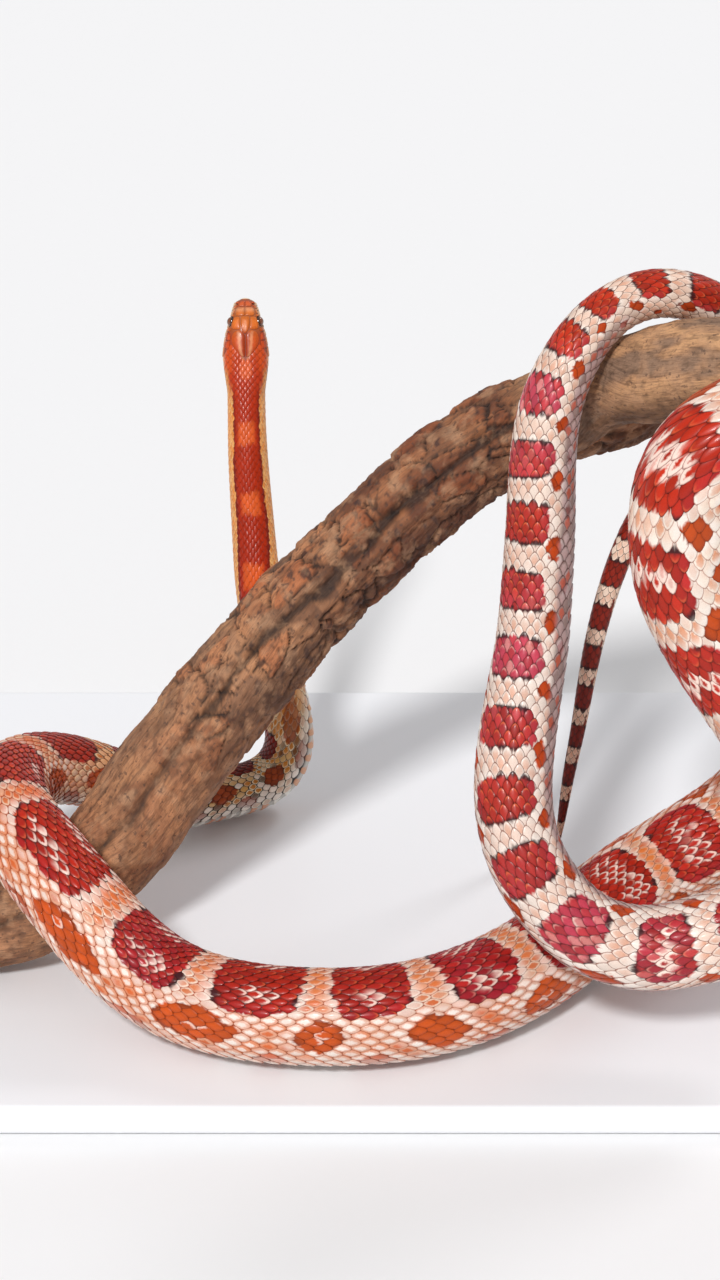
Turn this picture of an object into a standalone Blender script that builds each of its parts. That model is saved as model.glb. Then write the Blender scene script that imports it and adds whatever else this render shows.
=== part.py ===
"""A corn snake draped over a cut length of branch, as a life-size still model.

The snake is one long body that winds through the air, so it is built as lengths of a tube lofted along one
smooth centreline. The centreline passes through waypoints chosen by hand, in millimetres. Each length carries
belly scutes as raised plates, and the head carries its shields, brows, lips, nostrils and the line of the mouth.
The branch is lofted in the same way. A flat base and two short rods hold it up.

Frame: metres, +Z up, +X to the right and +Y away from the viewer. The origin is the centre of the underside of
the stand's base.
"""

import math

import bmesh
import bpy
import numpy as np
from mathutils import Matrix, Vector

MM = 0.001
COLLECTION = "corn_snake_on_branch"

# Gap kept between pieces that meet, in mm
GAP = 0.3

# Head, in mm: its length, and the eyeball's radius and place (back from the snout, out, above the mouth)
HEAD_LENGTH = 32.0
EYE_RADIUS = 2.05
EYE_BACK = 8.2
EYE_OUT = 4.2
EYE_UP = 2.5
NOSTRIL_RADIUS = 0.6
NOSTRIL_BACK = 2.4
MOUTH_CORNER = 20.5
MOUTH_START, MOUTH_RISE = -0.3, 0.9
SHIELD_RISE = 0.25
SHIELD_ROOT = 0.9

# Head frame: the nape, and the directions of the snout and of the crown
NAPE = (-38.0, 84.5, 147.0)
SNOUT_WAY = (-0.012, 0.469, 0.883)
CROWN_WAY = (0.0, -0.883, 0.469)

# Head profile: distance back from the snout, half width, height over and depth under the mouth, all in mm
HEAD_PROFILE = (
    (0.0, 1.7, 1.3, 0.9),
    (0.8, 2.9, 2.3, 1.6),
    (2.0, 3.6, 3.0, 2.2),
    (4.0, 4.3, 3.8, 2.7),
    (6.5, 5.2, 4.7, 3.2),
    (9.0, 6.1, 5.3, 3.7),
    (12.0, 7.0, 5.7, 4.1),
    (16.0, 7.7, 5.9, 4.6),
    (20.0, 8.0, 6.0, 5.0),
    (24.0, 7.8, 6.0, 5.4),
    (28.0, 7.1, 6.2, 5.7),
    (32.0, 6.4, 6.4, 5.5),
)
HEAD_STATIONS = (0.0, 0.8, 2.0, 3.4, 5.0, 6.6, 8.2, 9.8, 11.6, 13.6, 15.8, 18.2, 20.6, 23.2, 26.0, 29.0, 32.0)

# Half of the head's section, crown to chin: sideways as a part of the half width, and up or down as a part of
# the height or depth. Point GROOVE is the bottom of the mouth's groove, which closes behind the mouth's corner.
HEAD_SECTION = (
    (0.0, 1.0),
    (0.28, 0.985),
    (0.52, 0.93),
    (0.74, 0.80),
    (0.90, 0.55),
    (0.985, 0.28),
    (1.0, 0.06),
    (0.93, -0.02),
    (0.97, -0.12),
    (0.90, -0.42),
    (0.72, -0.72),
    (0.42, -0.93),
    (0.0, -1.0),
)
GROOVE = 7
GROOVE_CLOSED = 0.995
NOSTRIL_STEP = 4.1

# Shields of the crown as outlines: mm back from the snout, and place on HEAD_SECTION counted from the crown
PAIRED_SHIELDS = {
    "internasal": ((1.2, 0.2), (1.1, 1.9), (2.2, 2.5), (3.2, 2.1), (3.3, 0.2)),
    "prefrontal": ((3.6, 0.2), (3.5, 2.3), (4.6, 3.0), (6.2, 2.9), (6.6, 1.5), (6.4, 0.2)),
    "supraocular": ((7.0, 1.8), (6.5, 3.05), (8.5, 3.5), (10.6, 3.4), (11.4, 2.5), (9.0, 1.6)),
    "parietal": ((13.2, 0.15), (12.5, 0.8), (11.7, 1.7), (12.1, 2.7), (14.5, 3.1), (17.0, 2.5), (20.1, 0.2)),
}
FRONTAL = ((6.8, -1.4), (6.8, 1.4), (9.0, 1.25), (12.0, 0.6), (12.8, 0.0), (12.0, -0.6), (9.0, -1.25))
LABIALS = 7
LABIAL_START, LABIAL_END = 1.7, 19.6
LABIAL_TOP, LABIAL_RIM = 4.95, 5.95
LABIAL_SEAM = 0.25

# The body's lengths from nape to tail tip. Each has the way its back faces at its middle, and its waypoints
# (x, y, z, width) in mm; a length runs from its first waypoint to the first one of the next.
LENGTHS = (
    ("neck", (0.0, -0.92, 0.38), (
        (-38, 84.5, 147, 12.8), (-37.9, 81.3, 141, 12.8), (-37.5, 76, 129.5, 13.4), (-36, 68, 109, 14.4),
        (-34, 59, 88, 15.6), (-29, 53, 61, 16.8))),
    ("body_back_bend", (-0.83, 0.16, 0.53), (
        (-24.5, 49.5, 46, 17.4), (-23.5, 48, 34, 17.8), (-27.5, 46, 25, 18.2), (-35, 43, 20.6, 18.6),
        (-44.5, 39, 20.3, 19.0))),
    ("body_back", (0.48, 0.33, 0.81), (
        (-54.5, 33.5, 21.4, 19.6), (-64, 27.5, 24, 20.4), (-74, 21, 32, 21.4), (-86, 12.5, 42, 22.6))),
    ("body_left_turn", (0.2, 0.16, 0.97), (
        (-97.5, 4, 50, 24.0), (-107.5, -8, 56, 25.4), (-112.5, -27, 60.5, 26.8), (-108, -49.5, 61.5, 28.2))),
    ("body_over_branch", (0.49, -0.31, 0.81), (
        (-98.5, -66, 58.5, 29.4), (-87, -77.5, 49.5, 30.0), (-74, -85.5, 37.5, 30.2))),
    ("body_front", (0.0, -0.07, 1.0), (
        (-59, -92, 28.5, 30.2), (-38, -101, 26.2, 30.2), (-10, -105, 26, 30.2), (14, -102, 26.1, 30.4),
        (34, -93, 26.4, 30.8))),
    ("body_crossing", (0.22, -0.21, 0.95), (
        (52, -78, 26.6, 30.8), (67, -60, 27, 30.6), (79, -44, 28.2, 30.4))),
    ("body_rear", (0.07, -0.66, 0.75), (
        (91, -32.5, 31, 30.4), (104.5, -24.5, 35.5, 30.5), (119, -17, 41.5, 30.8))),
    ("body_rise_lower", (0.55, -0.8, 0.2), (
        (135, -8, 52, 31.4), (149, 0, 70, 32.0), (157, 7, 95, 32.6))),
    ("body_rise_upper", (1.0, 0.15, 0.0), (
        (159.5, 11, 124, 33.0), (160, 12, 154, 33.2), (160, 9, 179, 33.2))),
    ("body_over_limb", (0.1, 0.25, 0.95), (
        (159.5, -2, 202, 33.2), (159, -18.5, 222.5, 33.2), (156, -46, 231.5, 33.2))),
    ("body_hanging_bend", (-0.15, -0.75, 0.65), (
        (147, -68.5, 222.5, 33.0), (130, -76.5, 217, 32.8), (111.5, -78, 210.5, 32.6))),
    ("body_hanging_upper", (-0.78, -0.55, 0.3), (
        (103.5, -80, 206.5, 32.5), (98, -81.5, 201, 32.4), (94.5, -82, 193, 32.4), (93.5, -83, 181, 32.4))),
    ("body_hanging_lower", (-0.78, -0.55, 0.3), (
        (96, -84, 164, 32.6), (103.5, -85, 148, 32.6), (113.5, -87, 132, 32.2))),
    ("body_low_turn", (-0.5, -0.8, 0.3), (
        (124.5, -89, 114, 31.4), (132, -92, 96, 30.4), (134, -95, 78.5, 29.4), (127, -98, 63, 28.6))),
    ("body_bottom_loop", (0.0, -0.88, 0.47), (
        (112.5, -100, 54.5, 27.7), (98, -101, 50, 26.8), (84, -100.5, 48, 26.0), (69, -98, 52, 24.8))),
    ("body_climb_turn", (-0.25, -0.84, 0.48), (
        (57, -93, 62, 24.0), (49.5, -86, 73, 23.8), (46.5, -77.5, 84.5, 24.0))),
    ("body_climb", (-0.65, -0.65, 0.39), (
        (47, -69, 97, 24.0), (49.5, -59.5, 111, 23.4), (52.5, -50, 126.5, 22.6), (54, -41, 142.5, 22.0),
        (55, -33, 159, 21.4), (55.5, -25.5, 174, 20.6), (57.5, -18.5, 188.5, 19.6))),
    ("body_arch", (-0.24, -0.31, 0.92), (
        (62.5, -12, 200, 18.2), (69.5, -5.5, 209, 16.8), (78.5, 0.5, 215, 15.8), (89.5, 5, 217.5, 15.4),
        (101.5, 8.5, 215, 15.0))),
    ("body_vent", (0.8, -0.59, 0.09), (
        (113.5, 15, 206.5, 14.4), (120.5, 19.5, 195.5, 13.4), (120, 20.5, 183, 12.4))),
    ("tail_upper", (-0.05, -0.85, 0.52), (
        (113.5, 19, 172, 11.4), (104.5, 14, 161, 10.3), (94.5, 8, 150, 9.1), (86, 3, 137.5, 8.0))),
    ("tail_middle", (-0.3, -0.85, 0.4), (
        (80, -1, 123, 7.2), (75.5, -5, 107, 6.5), (72.5, -8.5, 91.5, 5.8))),
    ("tail_tip", (-0.3, -0.85, 0.4), (
        (70, -12, 75, 4.9), (67, -15.5, 58.5, 3.9), (65, -18.5, 44, 2.7), (63.5, -20.5, 34, 1.3))),
)

# Body section: angles from the middle of the back, and the radius there as a part of half the width. The keels
# at 146 degrees bound a belly that is nearly flat.
SECTION_ANGLES = (0, 26, 52, 78, 103, 126, 146, 180)
SECTION_RADII = (1.0, 1.0, 1.0, 1.0, 1.0, 1.0, 1.0, 0.88)
SCUTE_SHARE = (0.0, 0.0, 0.0, 0.0, 0.0, 0.3, 1.0, 1.0)
TAIL_ANGLES = (0, 36, 72, 108, 142, 180)
TAIL_SHARE = (0.0, 0.0, 0.0, 0.3, 1.0, 1.0)

# Belly scutes: length and rise as parts of the body's width, with their limits in mm
SCUTE_PITCH = 0.36
SCUTE_LEAST, SCUTE_MOST = 5.0, 10.0
SCUTE_RISE = 0.02
SCUTE_STEP = 0.35

# The branch and its long limb as one path, and the short broken stub at the fork: (x, y, z, radius) in mm
BRANCH = (
    (-128, -53.5, 26, 14.5), (-108, -51, 28, 15.0), (-89, -45, 37.5, 15.8), (-75, -38, 51, 17.0),
    (-63, -31, 66.5, 17.2), (-48.5, -23, 83.5, 17.0), (-31.5, -15, 103, 16.6), (-11, -7, 123.5, 16.0),
    (9.5, 1, 141.5, 15.8), (28.5, 6, 157, 15.8), (46, 9.5, 168, 16.0), (62, 9.5, 176, 14.8),
    (77, 4, 187, 13.4), (87.5, -3, 193, 15.2), (100.5, -11, 199.5, 15.8), (114.5, -20, 203.5, 15.5),
    (131, -31, 203, 15.2), (148, -42, 200, 15.0), (163, -51, 196, 14.8), (175, -58, 193, 14.5),
)
STUB = ((61, 15, 170, 13.0), (70, 21, 169, 13.5), (81, 28, 167, 13.0), (92, 36, 166, 11.5))
BRANCH_PARTS = ("branch_lower", "branch_middle", "branch_fork", "branch_limb")
BRANCH_CUTS = (0.0, 0.36, 0.62, 0.80, 1.0)
BRANCH_SIDES = 16
BRANCH_PITCH = 8.0
BARK_DEPTH = 0.07
BARK_RIDGES = 5
RIDGE_TWIST, RIDGE_BEAT = 0.045, 0.11
LIMB_SMOOTHNESS = 0.7

# Stand, in mm: its base, the rods and their feet
BASE_LENGTH, BASE_WIDTH, BASE_THICK = 340.0, 260.0, 10.0
BASE_CORNER = 38.0
CORNER_STEPS = 8
BASE_EDGE = 2.0
ROD_RADIUS = 3.0
FOOT_RADIUS, FOOT_THICK = 8.0, 3.0
RODS = (("stand_rod_left", 53.0, 10.0, 165.0), ("stand_rod_right", 132.0, -35.0, 200.0))
ROD_SIDES, ROD_SUNK = 20, 1.0
SEAT_GROWTH = 0.35

MATERIALS = {
    "skin": ((0.62, 0.17, 0.07), 0.42, 0.0),
    "eye": ((0.02, 0.01, 0.01), 0.08, 0.0),
    "bark": ((0.23, 0.13, 0.08), 0.85, 0.0),
    "stand": ((0.80, 0.80, 0.79), 0.45, 0.0),
    "rod": ((0.62, 0.63, 0.64), 0.35, 1.0),
}


class Centreline:
    """A smooth line through waypoints, read by the distance along it in mm."""

    STEP = 2.0
    SMOOTHING = 6

    def __init__(self, rows):
        rows = np.array(rows, float)
        line = self.through(rows)
        along = self.distances(line)
        count = int(along[-1] / self.STEP) + 1
        places = np.linspace(0.0, along[-1], count)
        line = np.stack([np.interp(places, along, line[:, k]) for k in range(4)], axis=-1)
        for _ in range(self.SMOOTHING):
            line[1:-1] = 0.25 * line[:-2] + 0.5 * line[1:-1] + 0.25 * line[2:]
        self.line = line
        self.along = self.distances(line)
        self.length = self.along[-1]
        nearest = [np.argmin(np.linalg.norm(line[:, :3] - row[:3], axis=1)) for row in rows]
        self.waypoints = self.along[nearest]
        self.tangents = np.gradient(line[:, :3], self.along, axis=0)

    @staticmethod
    def distances(line):
        steps = np.linalg.norm(np.diff(line[:, :3], axis=0), axis=1)
        return np.concatenate([[0.0], np.cumsum(steps)])

    @staticmethod
    def through(rows, pieces=12):
        """A centripetal spline through the rows, with the end rows' own neighbours mirrored."""
        ends = np.vstack([2 * rows[0] - rows[1], rows, 2 * rows[-1] - rows[-2]])
        found = []
        for p0, p1, p2, p3 in zip(ends, ends[1:], ends[2:], ends[3:]):
            knots = [0.0]
            for a, b in ((p0, p1), (p1, p2), (p2, p3)):
                knots.append(knots[-1] + math.sqrt(np.linalg.norm(b[:3] - a[:3])))
            t0, t1, t2, t3 = knots
            t = np.linspace(t1, t2, pieces, endpoint=False)[:, None]
            a1 = (t1 - t) / (t1 - t0) * p0 + (t - t0) / (t1 - t0) * p1
            a2 = (t2 - t) / (t2 - t1) * p1 + (t - t1) / (t2 - t1) * p2
            a3 = (t3 - t) / (t3 - t2) * p2 + (t - t2) / (t3 - t2) * p3
            b1 = (t2 - t) / (t2 - t0) * a1 + (t - t0) / (t2 - t0) * a2
            b2 = (t3 - t) / (t3 - t1) * a2 + (t - t1) / (t3 - t1) * a3
            found.append((t2 - t) / (t2 - t1) * b1 + (t - t1) / (t2 - t1) * b2)
        return np.vstack(found + [rows[-1:]])

    def face(self, places, ways):
        """Sets the way the back faces: blended between the given places and kept square to the line."""
        ways = np.array(ways, float)
        blended = np.stack([np.interp(self.along, places, ways[:, k]) for k in range(3)], axis=-1)
        tangents = self.tangents / np.linalg.norm(self.tangents, axis=1)[:, None]
        blended -= (blended * tangents).sum(axis=1)[:, None] * tangents
        self.backs = blended / np.linalg.norm(blended, axis=1)[:, None]

    def at(self, place):
        """The point, half width, back direction and side direction there, in mm."""
        point = Vector([np.interp(place, self.along, self.line[:, k]) for k in range(3)])
        width = float(np.interp(place, self.along, self.line[:, 3]))
        back = Vector([np.interp(place, self.along, self.backs[:, k]) for k in range(3)])
        way = Vector([np.interp(place, self.along, self.tangents[:, k]) for k in range(3)]).normalized()
        back = (back - back.dot(way) * way).normalized()
        return point, width, back, back.cross(way)


def loft(name, rings):
    """One closed mesh object through rings of equal count, with a fan over each end."""
    mesh = bmesh.new()
    rows = [[mesh.verts.new(point * MM) for point in ring] for ring in rings]
    count = len(rows[0])
    for first, second in zip(rows, rows[1:]):
        for k in range(count):
            after = (k + 1) % count
            mesh.faces.new((first[k], first[after], second[after], second[k]))
    for row in (rows[0], rows[-1]):
        middle = mesh.verts.new(sum((vert.co for vert in row), Vector()) / count)
        for k in range(count):
            mesh.faces.new((row[k], row[(k + 1) % count], middle))
    bmesh.ops.recalc_face_normals(mesh, faces=mesh.faces)
    bmesh.ops.triangulate(mesh, faces=mesh.faces)
    return object_of(name, mesh)


def object_of(name, mesh):
    """Ends a bmesh as an object in the scene's own collection."""
    data = bpy.data.meshes.new(name)
    mesh.to_mesh(data)
    mesh.free()
    made = bpy.data.objects.new(name, data)
    bpy.context.scene.collection.objects.link(made)
    return made


def apply_boolean(target, operation, others, solver="EXACT"):
    """Joins others to target or cuts them from it, for good, and removes them."""
    helpers = bpy.data.collections.new(target.name + "_helpers")
    bpy.context.scene.collection.children.link(helpers)
    for other in others:
        for home in list(other.users_collection):
            home.objects.unlink(other)
        helpers.objects.link(other)
    modifier = target.modifiers.new("Join", "BOOLEAN")
    modifier.operation = operation
    modifier.operand_type = "COLLECTION"
    modifier.collection = helpers
    modifier.solver = solver
    graph = bpy.context.evaluated_depsgraph_get()
    result = bpy.data.meshes.new_from_object(target.evaluated_get(graph))
    target.modifiers.clear()
    target.data = result
    for other in list(helpers.objects):
        bpy.data.objects.remove(other)
    bpy.data.collections.remove(helpers)
    keep_largest_surface(target)


def keep_largest_surface(target):
    """Drops every closed surface of the object but its largest."""
    mesh = bmesh.new()
    mesh.from_mesh(target.data)
    bmesh.ops.remove_doubles(mesh, verts=mesh.verts, dist=1e-7)
    left = set(mesh.faces)
    shells = []
    while left:
        shell, edge = set(), [left.pop()]
        while edge:
            face = edge.pop()
            shell.add(face)
            near = {other for side in face.edges for other in side.link_faces} & left
            left -= near
            edge.extend(near)
        shells.append(shell)
    shells.sort(key=lambda shell: sum(face.calc_area() for face in shell))
    loose = [face for shell in shells[:-1] for face in shell]
    bmesh.ops.delete(mesh, geom=loose, context="FACES")
    bmesh.ops.triangulate(mesh, faces=mesh.faces)
    mesh.to_mesh(target.data)
    mesh.free()


def body_ring(line, place, lift, angles, radii, share):
    """One ring of the body, its belly lowered by lift where the scutes are."""
    point, width, back, side = line.at(place)
    ring = []
    halves = list(zip(angles, radii, share))
    for angle, radius, part in halves + halves[-2:0:-1]:
        reach = 0.5 * width * radius + lift * part
        turn = math.radians(angle)
        across = math.sin(turn) if len(ring) < len(angles) else -math.sin(turn)
        ring.append(point + reach * (math.cos(turn) * back + across * side))
    return ring


def body_length(name, line, start, end, tail):
    """One length of the body, whose belly rises along each scute and drops at its free rear edge."""
    angles = TAIL_ANGLES if tail else SECTION_ANGLES
    share = TAIL_SHARE if tail else SCUTE_SHARE
    radii = tuple(1.0 for _ in angles) if tail else SECTION_RADII
    rings = []
    place = start
    while place < end - SCUTE_STEP:
        width = line.at(place)[1]
        pitch = min(max(SCUTE_PITCH * width, SCUTE_LEAST), SCUTE_MOST)
        left = end - place
        scute = left if left < 1.5 * pitch else pitch
        last = scute == left
        rings.append(body_ring(line, place, 0.0, angles, radii, share))
        free_edge = place + scute - (0.0 if last else SCUTE_STEP)
        rings.append(body_ring(line, free_edge, SCUTE_RISE * width, angles, radii, share))
        place += scute
    return loft(name, rings)


def build_body(line):
    """Every length of the body, from the nape to the tip of the tail."""
    starts = []
    passed = 0
    for _, _, rows in LENGTHS:
        starts.append(line.waypoints[passed])
        passed += len(rows)
    starts.append(line.length)
    made = []
    for (name, _, _), start, end in zip(LENGTHS, starts, starts[1:]):
        made.append(body_length(name, line, start + GAP / 2, end - GAP / 2, name.startswith("tail")))
    return made


def snake_centreline():
    """The body's centreline, with the back's direction set from the lengths' own."""
    line = Centreline([row for _, _, rows in LENGTHS for row in rows])
    places = []
    passed = 0
    for _, _, rows in LENGTHS:
        stretch = line.waypoints[passed:passed + len(rows)]
        places.append(0.5 * (stretch[0] + stretch[-1]))
        passed += len(rows)
    line.face([0.0] + places, [CROWN_WAY] + [back for _, back, _ in LENGTHS])
    return line


class Head:
    """The head's surface in its own frame: back from the snout, sideways and up, in mm."""

    def __init__(self):
        forward = Vector(SNOUT_WAY).normalized()
        crown = Vector(CROWN_WAY)
        crown = (crown - crown.dot(forward) * forward).normalized()
        self.forward, self.crown, self.left = forward, crown, crown.cross(forward)
        self.tip = Vector(NAPE) + forward * (HEAD_LENGTH + GAP / 2)

    def place(self, back, out, up):
        """A point of the head in the world, in mm."""
        return self.tip - self.forward * back + self.left * out + self.crown * up

    @staticmethod
    def mouth(back):
        """Height of the mouth's line: it rises a little to its corner, then returns to the axis."""
        rise = min(back, MOUTH_CORNER) / MOUTH_CORNER
        fade = max(0.0, (back - MOUTH_CORNER) / (HEAD_LENGTH - MOUTH_CORNER))
        return (MOUTH_RISE * rise + MOUTH_START) * (1.0 - fade)

    def section(self, back, step, side):
        """A point on the section, by its place on HEAD_SECTION, on one side of the head."""
        stations, widths, heights, depths = zip(*HEAD_PROFILE)
        half = np.interp(back, stations, widths)
        height = np.interp(back, stations, heights)
        depth = np.interp(back, stations, depths)
        order = range(len(HEAD_SECTION))
        outs = [out for out, _ in HEAD_SECTION]
        if back > MOUTH_CORNER:
            outs[GROOVE] = GROOVE_CLOSED
        out = np.interp(step, order, outs) * half
        up = np.interp(step, order, [up for _, up in HEAD_SECTION])
        middle = self.mouth(back)
        up = middle + (up * (height - middle) if up > 0 else up * (depth + middle))
        return self.place(back, side * out, up)

    def ring(self, back):
        last = len(HEAD_SECTION) - 1
        near = [self.section(back, step, 1) for step in range(last + 1)]
        far = [self.section(back, step, -1) for step in range(last - 1, 0, -1)]
        return near + far

    def plate(self, name, outline, side):
        """A low raised plate on the head's surface, its root sunk under the surface."""
        low, high = [], []
        for back, step in outline:
            turn = side if step >= 0 else -side
            point = self.section(back, abs(step), turn)
            outward = (point - self.place(back + 1.0, 0.0, 0.0)).normalized()
            high.append(point + outward * SHIELD_RISE)
            low.append(point - outward * SHIELD_ROOT)
        return loft(name, [low, high])


def sphere(name, centre, radius, segments=14, rings=10):
    """A ball at a place given in mm."""
    mesh = bmesh.new()
    bmesh.ops.create_uvsphere(mesh, u_segments=segments, v_segments=rings, radius=radius * MM)
    bmesh.ops.translate(mesh, verts=mesh.verts, vec=centre * MM)
    bmesh.ops.triangulate(mesh, faces=mesh.faces)
    return object_of(name, mesh)


def build_head():
    """The head with its shields and labials, cut by the eye sockets and the nostrils."""
    head = Head()
    shape = loft("head", [head.ring(back) for back in HEAD_STATIONS])
    plates = [head.plate("frontal", FRONTAL, 1)]
    pitch = (LABIAL_END - LABIAL_START) / LABIALS
    for side in (1, -1):
        for name, outline in PAIRED_SHIELDS.items():
            plates.append(head.plate(name, outline, side))
        for k in range(LABIALS):
            first = LABIAL_START + k * pitch
            rear = first + pitch - LABIAL_SEAM
            outline = ((first, LABIAL_TOP), (first, LABIAL_RIM), (rear, LABIAL_RIM), (rear, LABIAL_TOP))
            plates.append(head.plate(f"labial_{k}", outline, side))
    apply_boolean(shape, "UNION", plates)
    eyes, cutters = [], []
    for name, side in (("eye_left", 1), ("eye_right", -1)):
        centre = head.place(EYE_BACK, side * EYE_OUT, EYE_UP)
        eyes.append(sphere(name, centre, EYE_RADIUS))
        cutters.append(sphere("socket", centre, EYE_RADIUS + GAP))
        nostril = head.section(NOSTRIL_BACK, NOSTRIL_STEP, side)
        cutters.append(sphere("nostril", nostril, NOSTRIL_RADIUS, 8, 6))
    apply_boolean(shape, "DIFFERENCE", cutters)
    return [shape] + eyes


def bark_ring(line, place, growth, smoothness):
    """One ring of the branch, with ridges and hollows that never reach past its radius."""
    point, radius, back, side = line.at(place)
    ring = []
    for k in range(BRANCH_SIDES):
        turn = 2 * math.pi * k / BRANCH_SIDES
        ridge = math.sin(BARK_RIDGES * turn + RIDGE_TWIST * place) * math.cos(RIDGE_BEAT * place + 2 * turn)
        hollow = BARK_DEPTH * (1.0 - smoothness) * (0.5 - 0.5 * ridge)
        reach = radius * (1.0 - hollow) + growth
        ring.append(point + reach * (math.cos(turn) * back + math.sin(turn) * side))
    return ring


def branch_piece(name, line, start, end, growth=0.0):
    """A length of branch between two distances along its line, fattened by growth."""
    count = max(3, round((end - start) / BRANCH_PITCH))
    places = [start + (end - start) * k / count for k in range(count + 1)]
    limb_start = line.length * BRANCH_CUTS[-2]
    rings = [
        bark_ring(line, place, growth, LIMB_SMOOTHNESS if place > limb_start else 0.0) for place in places]
    return loft(name, rings)


def upright_line(rows):
    """A centreline whose rings are turned from straight up."""
    line = Centreline(rows)
    line.face([0.0, line.length], [(0.0, 0.0, 1.0), (0.0, 0.0, 1.0)])
    return line


def build_branch():
    """The branch in four lengths, and the stub, cut clear of the fork it grows from."""
    line = upright_line(BRANCH)
    made = []
    for name, first, last in zip(BRANCH_PARTS, BRANCH_CUTS, BRANCH_CUTS[1:]):
        start = line.length * first + (GAP / 2 if first > 0 else 0.0)
        end = line.length * last - (GAP / 2 if last < 1 else 0.0)
        made.append(branch_piece(name, line, start, end))
    stub_line = upright_line(STUB)
    stub = branch_piece("branch_stub", stub_line, 0.0, stub_line.length)
    apply_boolean(stub, "DIFFERENCE", [branch_piece("clear", line, 0.0, line.length, GAP)])
    return made + [stub]


def build_base():
    """The stand's base: a flat plate with round corners and a small bevel along both faces."""
    mesh = bmesh.new()
    corners = []
    for quarter in range(4):
        middle_x = (BASE_LENGTH / 2 - BASE_CORNER) * (1 if quarter in (0, 3) else -1)
        middle_y = (BASE_WIDTH / 2 - BASE_CORNER) * (1 if quarter in (0, 1) else -1)
        for step in range(CORNER_STEPS + 1):
            turn = math.radians(90 * (quarter + step / CORNER_STEPS))
            x = middle_x + BASE_CORNER * math.cos(turn)
            y = middle_y + BASE_CORNER * math.sin(turn)
            corners.append(mesh.verts.new(Vector((x, y, 0.0)) * MM))
    outline = mesh.faces.new(corners)
    raised = bmesh.ops.extrude_face_region(mesh, geom=[outline])
    lifted = [item for item in raised["geom"] if isinstance(item, bmesh.types.BMVert)]
    bmesh.ops.translate(mesh, verts=lifted, vec=Vector((0.0, 0.0, BASE_THICK)) * MM)
    bmesh.ops.recalc_face_normals(mesh, faces=mesh.faces)
    base = object_of("stand_base", mesh)
    bevel = base.modifiers.new("Edges", "BEVEL")
    bevel.width = BASE_EDGE * MM
    bevel.segments = 2
    bevel.limit_method = "ANGLE"
    bevel.angle_limit = math.radians(60)
    return base


def upright_cylinder(name, x, y, low, high, radius):
    """A round post between two heights in mm."""
    mesh = bmesh.new()
    bmesh.ops.create_cone(
        mesh, cap_ends=True, segments=ROD_SIDES, radius1=radius * MM, radius2=radius * MM,
        depth=(high - low) * MM, matrix=Matrix.Translation(Vector((x, y, 0.5 * (low + high))) * MM))
    return object_of(name, mesh)


def build_rod(name, x, y, top, branch):
    """A round rod on a thin foot, hollowed at its top to seat the branch."""
    floor = BASE_THICK + GAP
    rod = upright_cylinder(name, x, y, floor, floor + FOOT_THICK, FOOT_RADIUS)
    shaft = upright_cylinder("shaft", x, y, floor + ROD_SUNK, top, ROD_RADIUS)
    apply_boolean(rod, "UNION", [shaft])
    apply_boolean(rod, "DIFFERENCE", [branch])
    return rod


def build_stand():
    """The base and its two rods, each cut to seat the branch over it."""
    line = upright_line(BRANCH)
    made = [build_base()]
    for name, x, y, top in RODS:
        grown = branch_piece("seat", line, 0.0, line.length, SEAT_GROWTH)
        made.append(build_rod(name, x, y, top, grown))
    return made


def material(name):
    """A plain material by its name in MATERIALS."""
    colour, roughness, metallic = MATERIALS[name]
    made = bpy.data.materials.new(name)
    made.use_nodes = True
    shader = made.node_tree.nodes["Principled BSDF"]
    shader.inputs["Base Color"].default_value = (*colour, 1.0)
    shader.inputs["Roughness"].default_value = roughness
    shader.inputs["Metallic"].default_value = metallic
    made.diffuse_color = (*colour, 1.0)
    return made


def material_name(node):
    if node.startswith("stand_rod"):
        return "rod"
    for start, name in (("stand", "stand"), ("branch", "bark"), ("eye", "eye")):
        if node.startswith(start):
            return name
    return "skin"


def main():
    for old in list(bpy.data.objects):
        bpy.data.objects.remove(old)
    made = build_body(snake_centreline()) + build_head() + build_branch() + build_stand()
    home = bpy.data.collections.new(COLLECTION)
    bpy.context.scene.collection.children.link(home)
    finishes = {name: material(name) for name in MATERIALS}
    for part in made:
        for old_home in list(part.users_collection):
            old_home.objects.unlink(part)
        home.objects.link(part)
        part.data.materials.clear()
        part.data.materials.append(finishes[material_name(part.name)])
        part.data.shade_smooth()


if __name__ == "__main__":
    main()
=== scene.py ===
"""Looks of the corn snake model: a scaled skin, head shields, eyes, bark and a plain stand, in the CAD frame.

The snake's route and the branch's path are the same waypoints that the solids are lofted through, in mm. Places
on the snake are given by the distance along it from the nape, negative on the head, and by the angle round it
from the middle of the back, in degrees, positive on the snake's right.
"""

import logging
import math
from dataclasses import dataclass
from enum import Enum
from typing import Callable, Sequence

import bmesh
import bpy
import numpy as np
from mathutils import Matrix, Vector, noise


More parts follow.
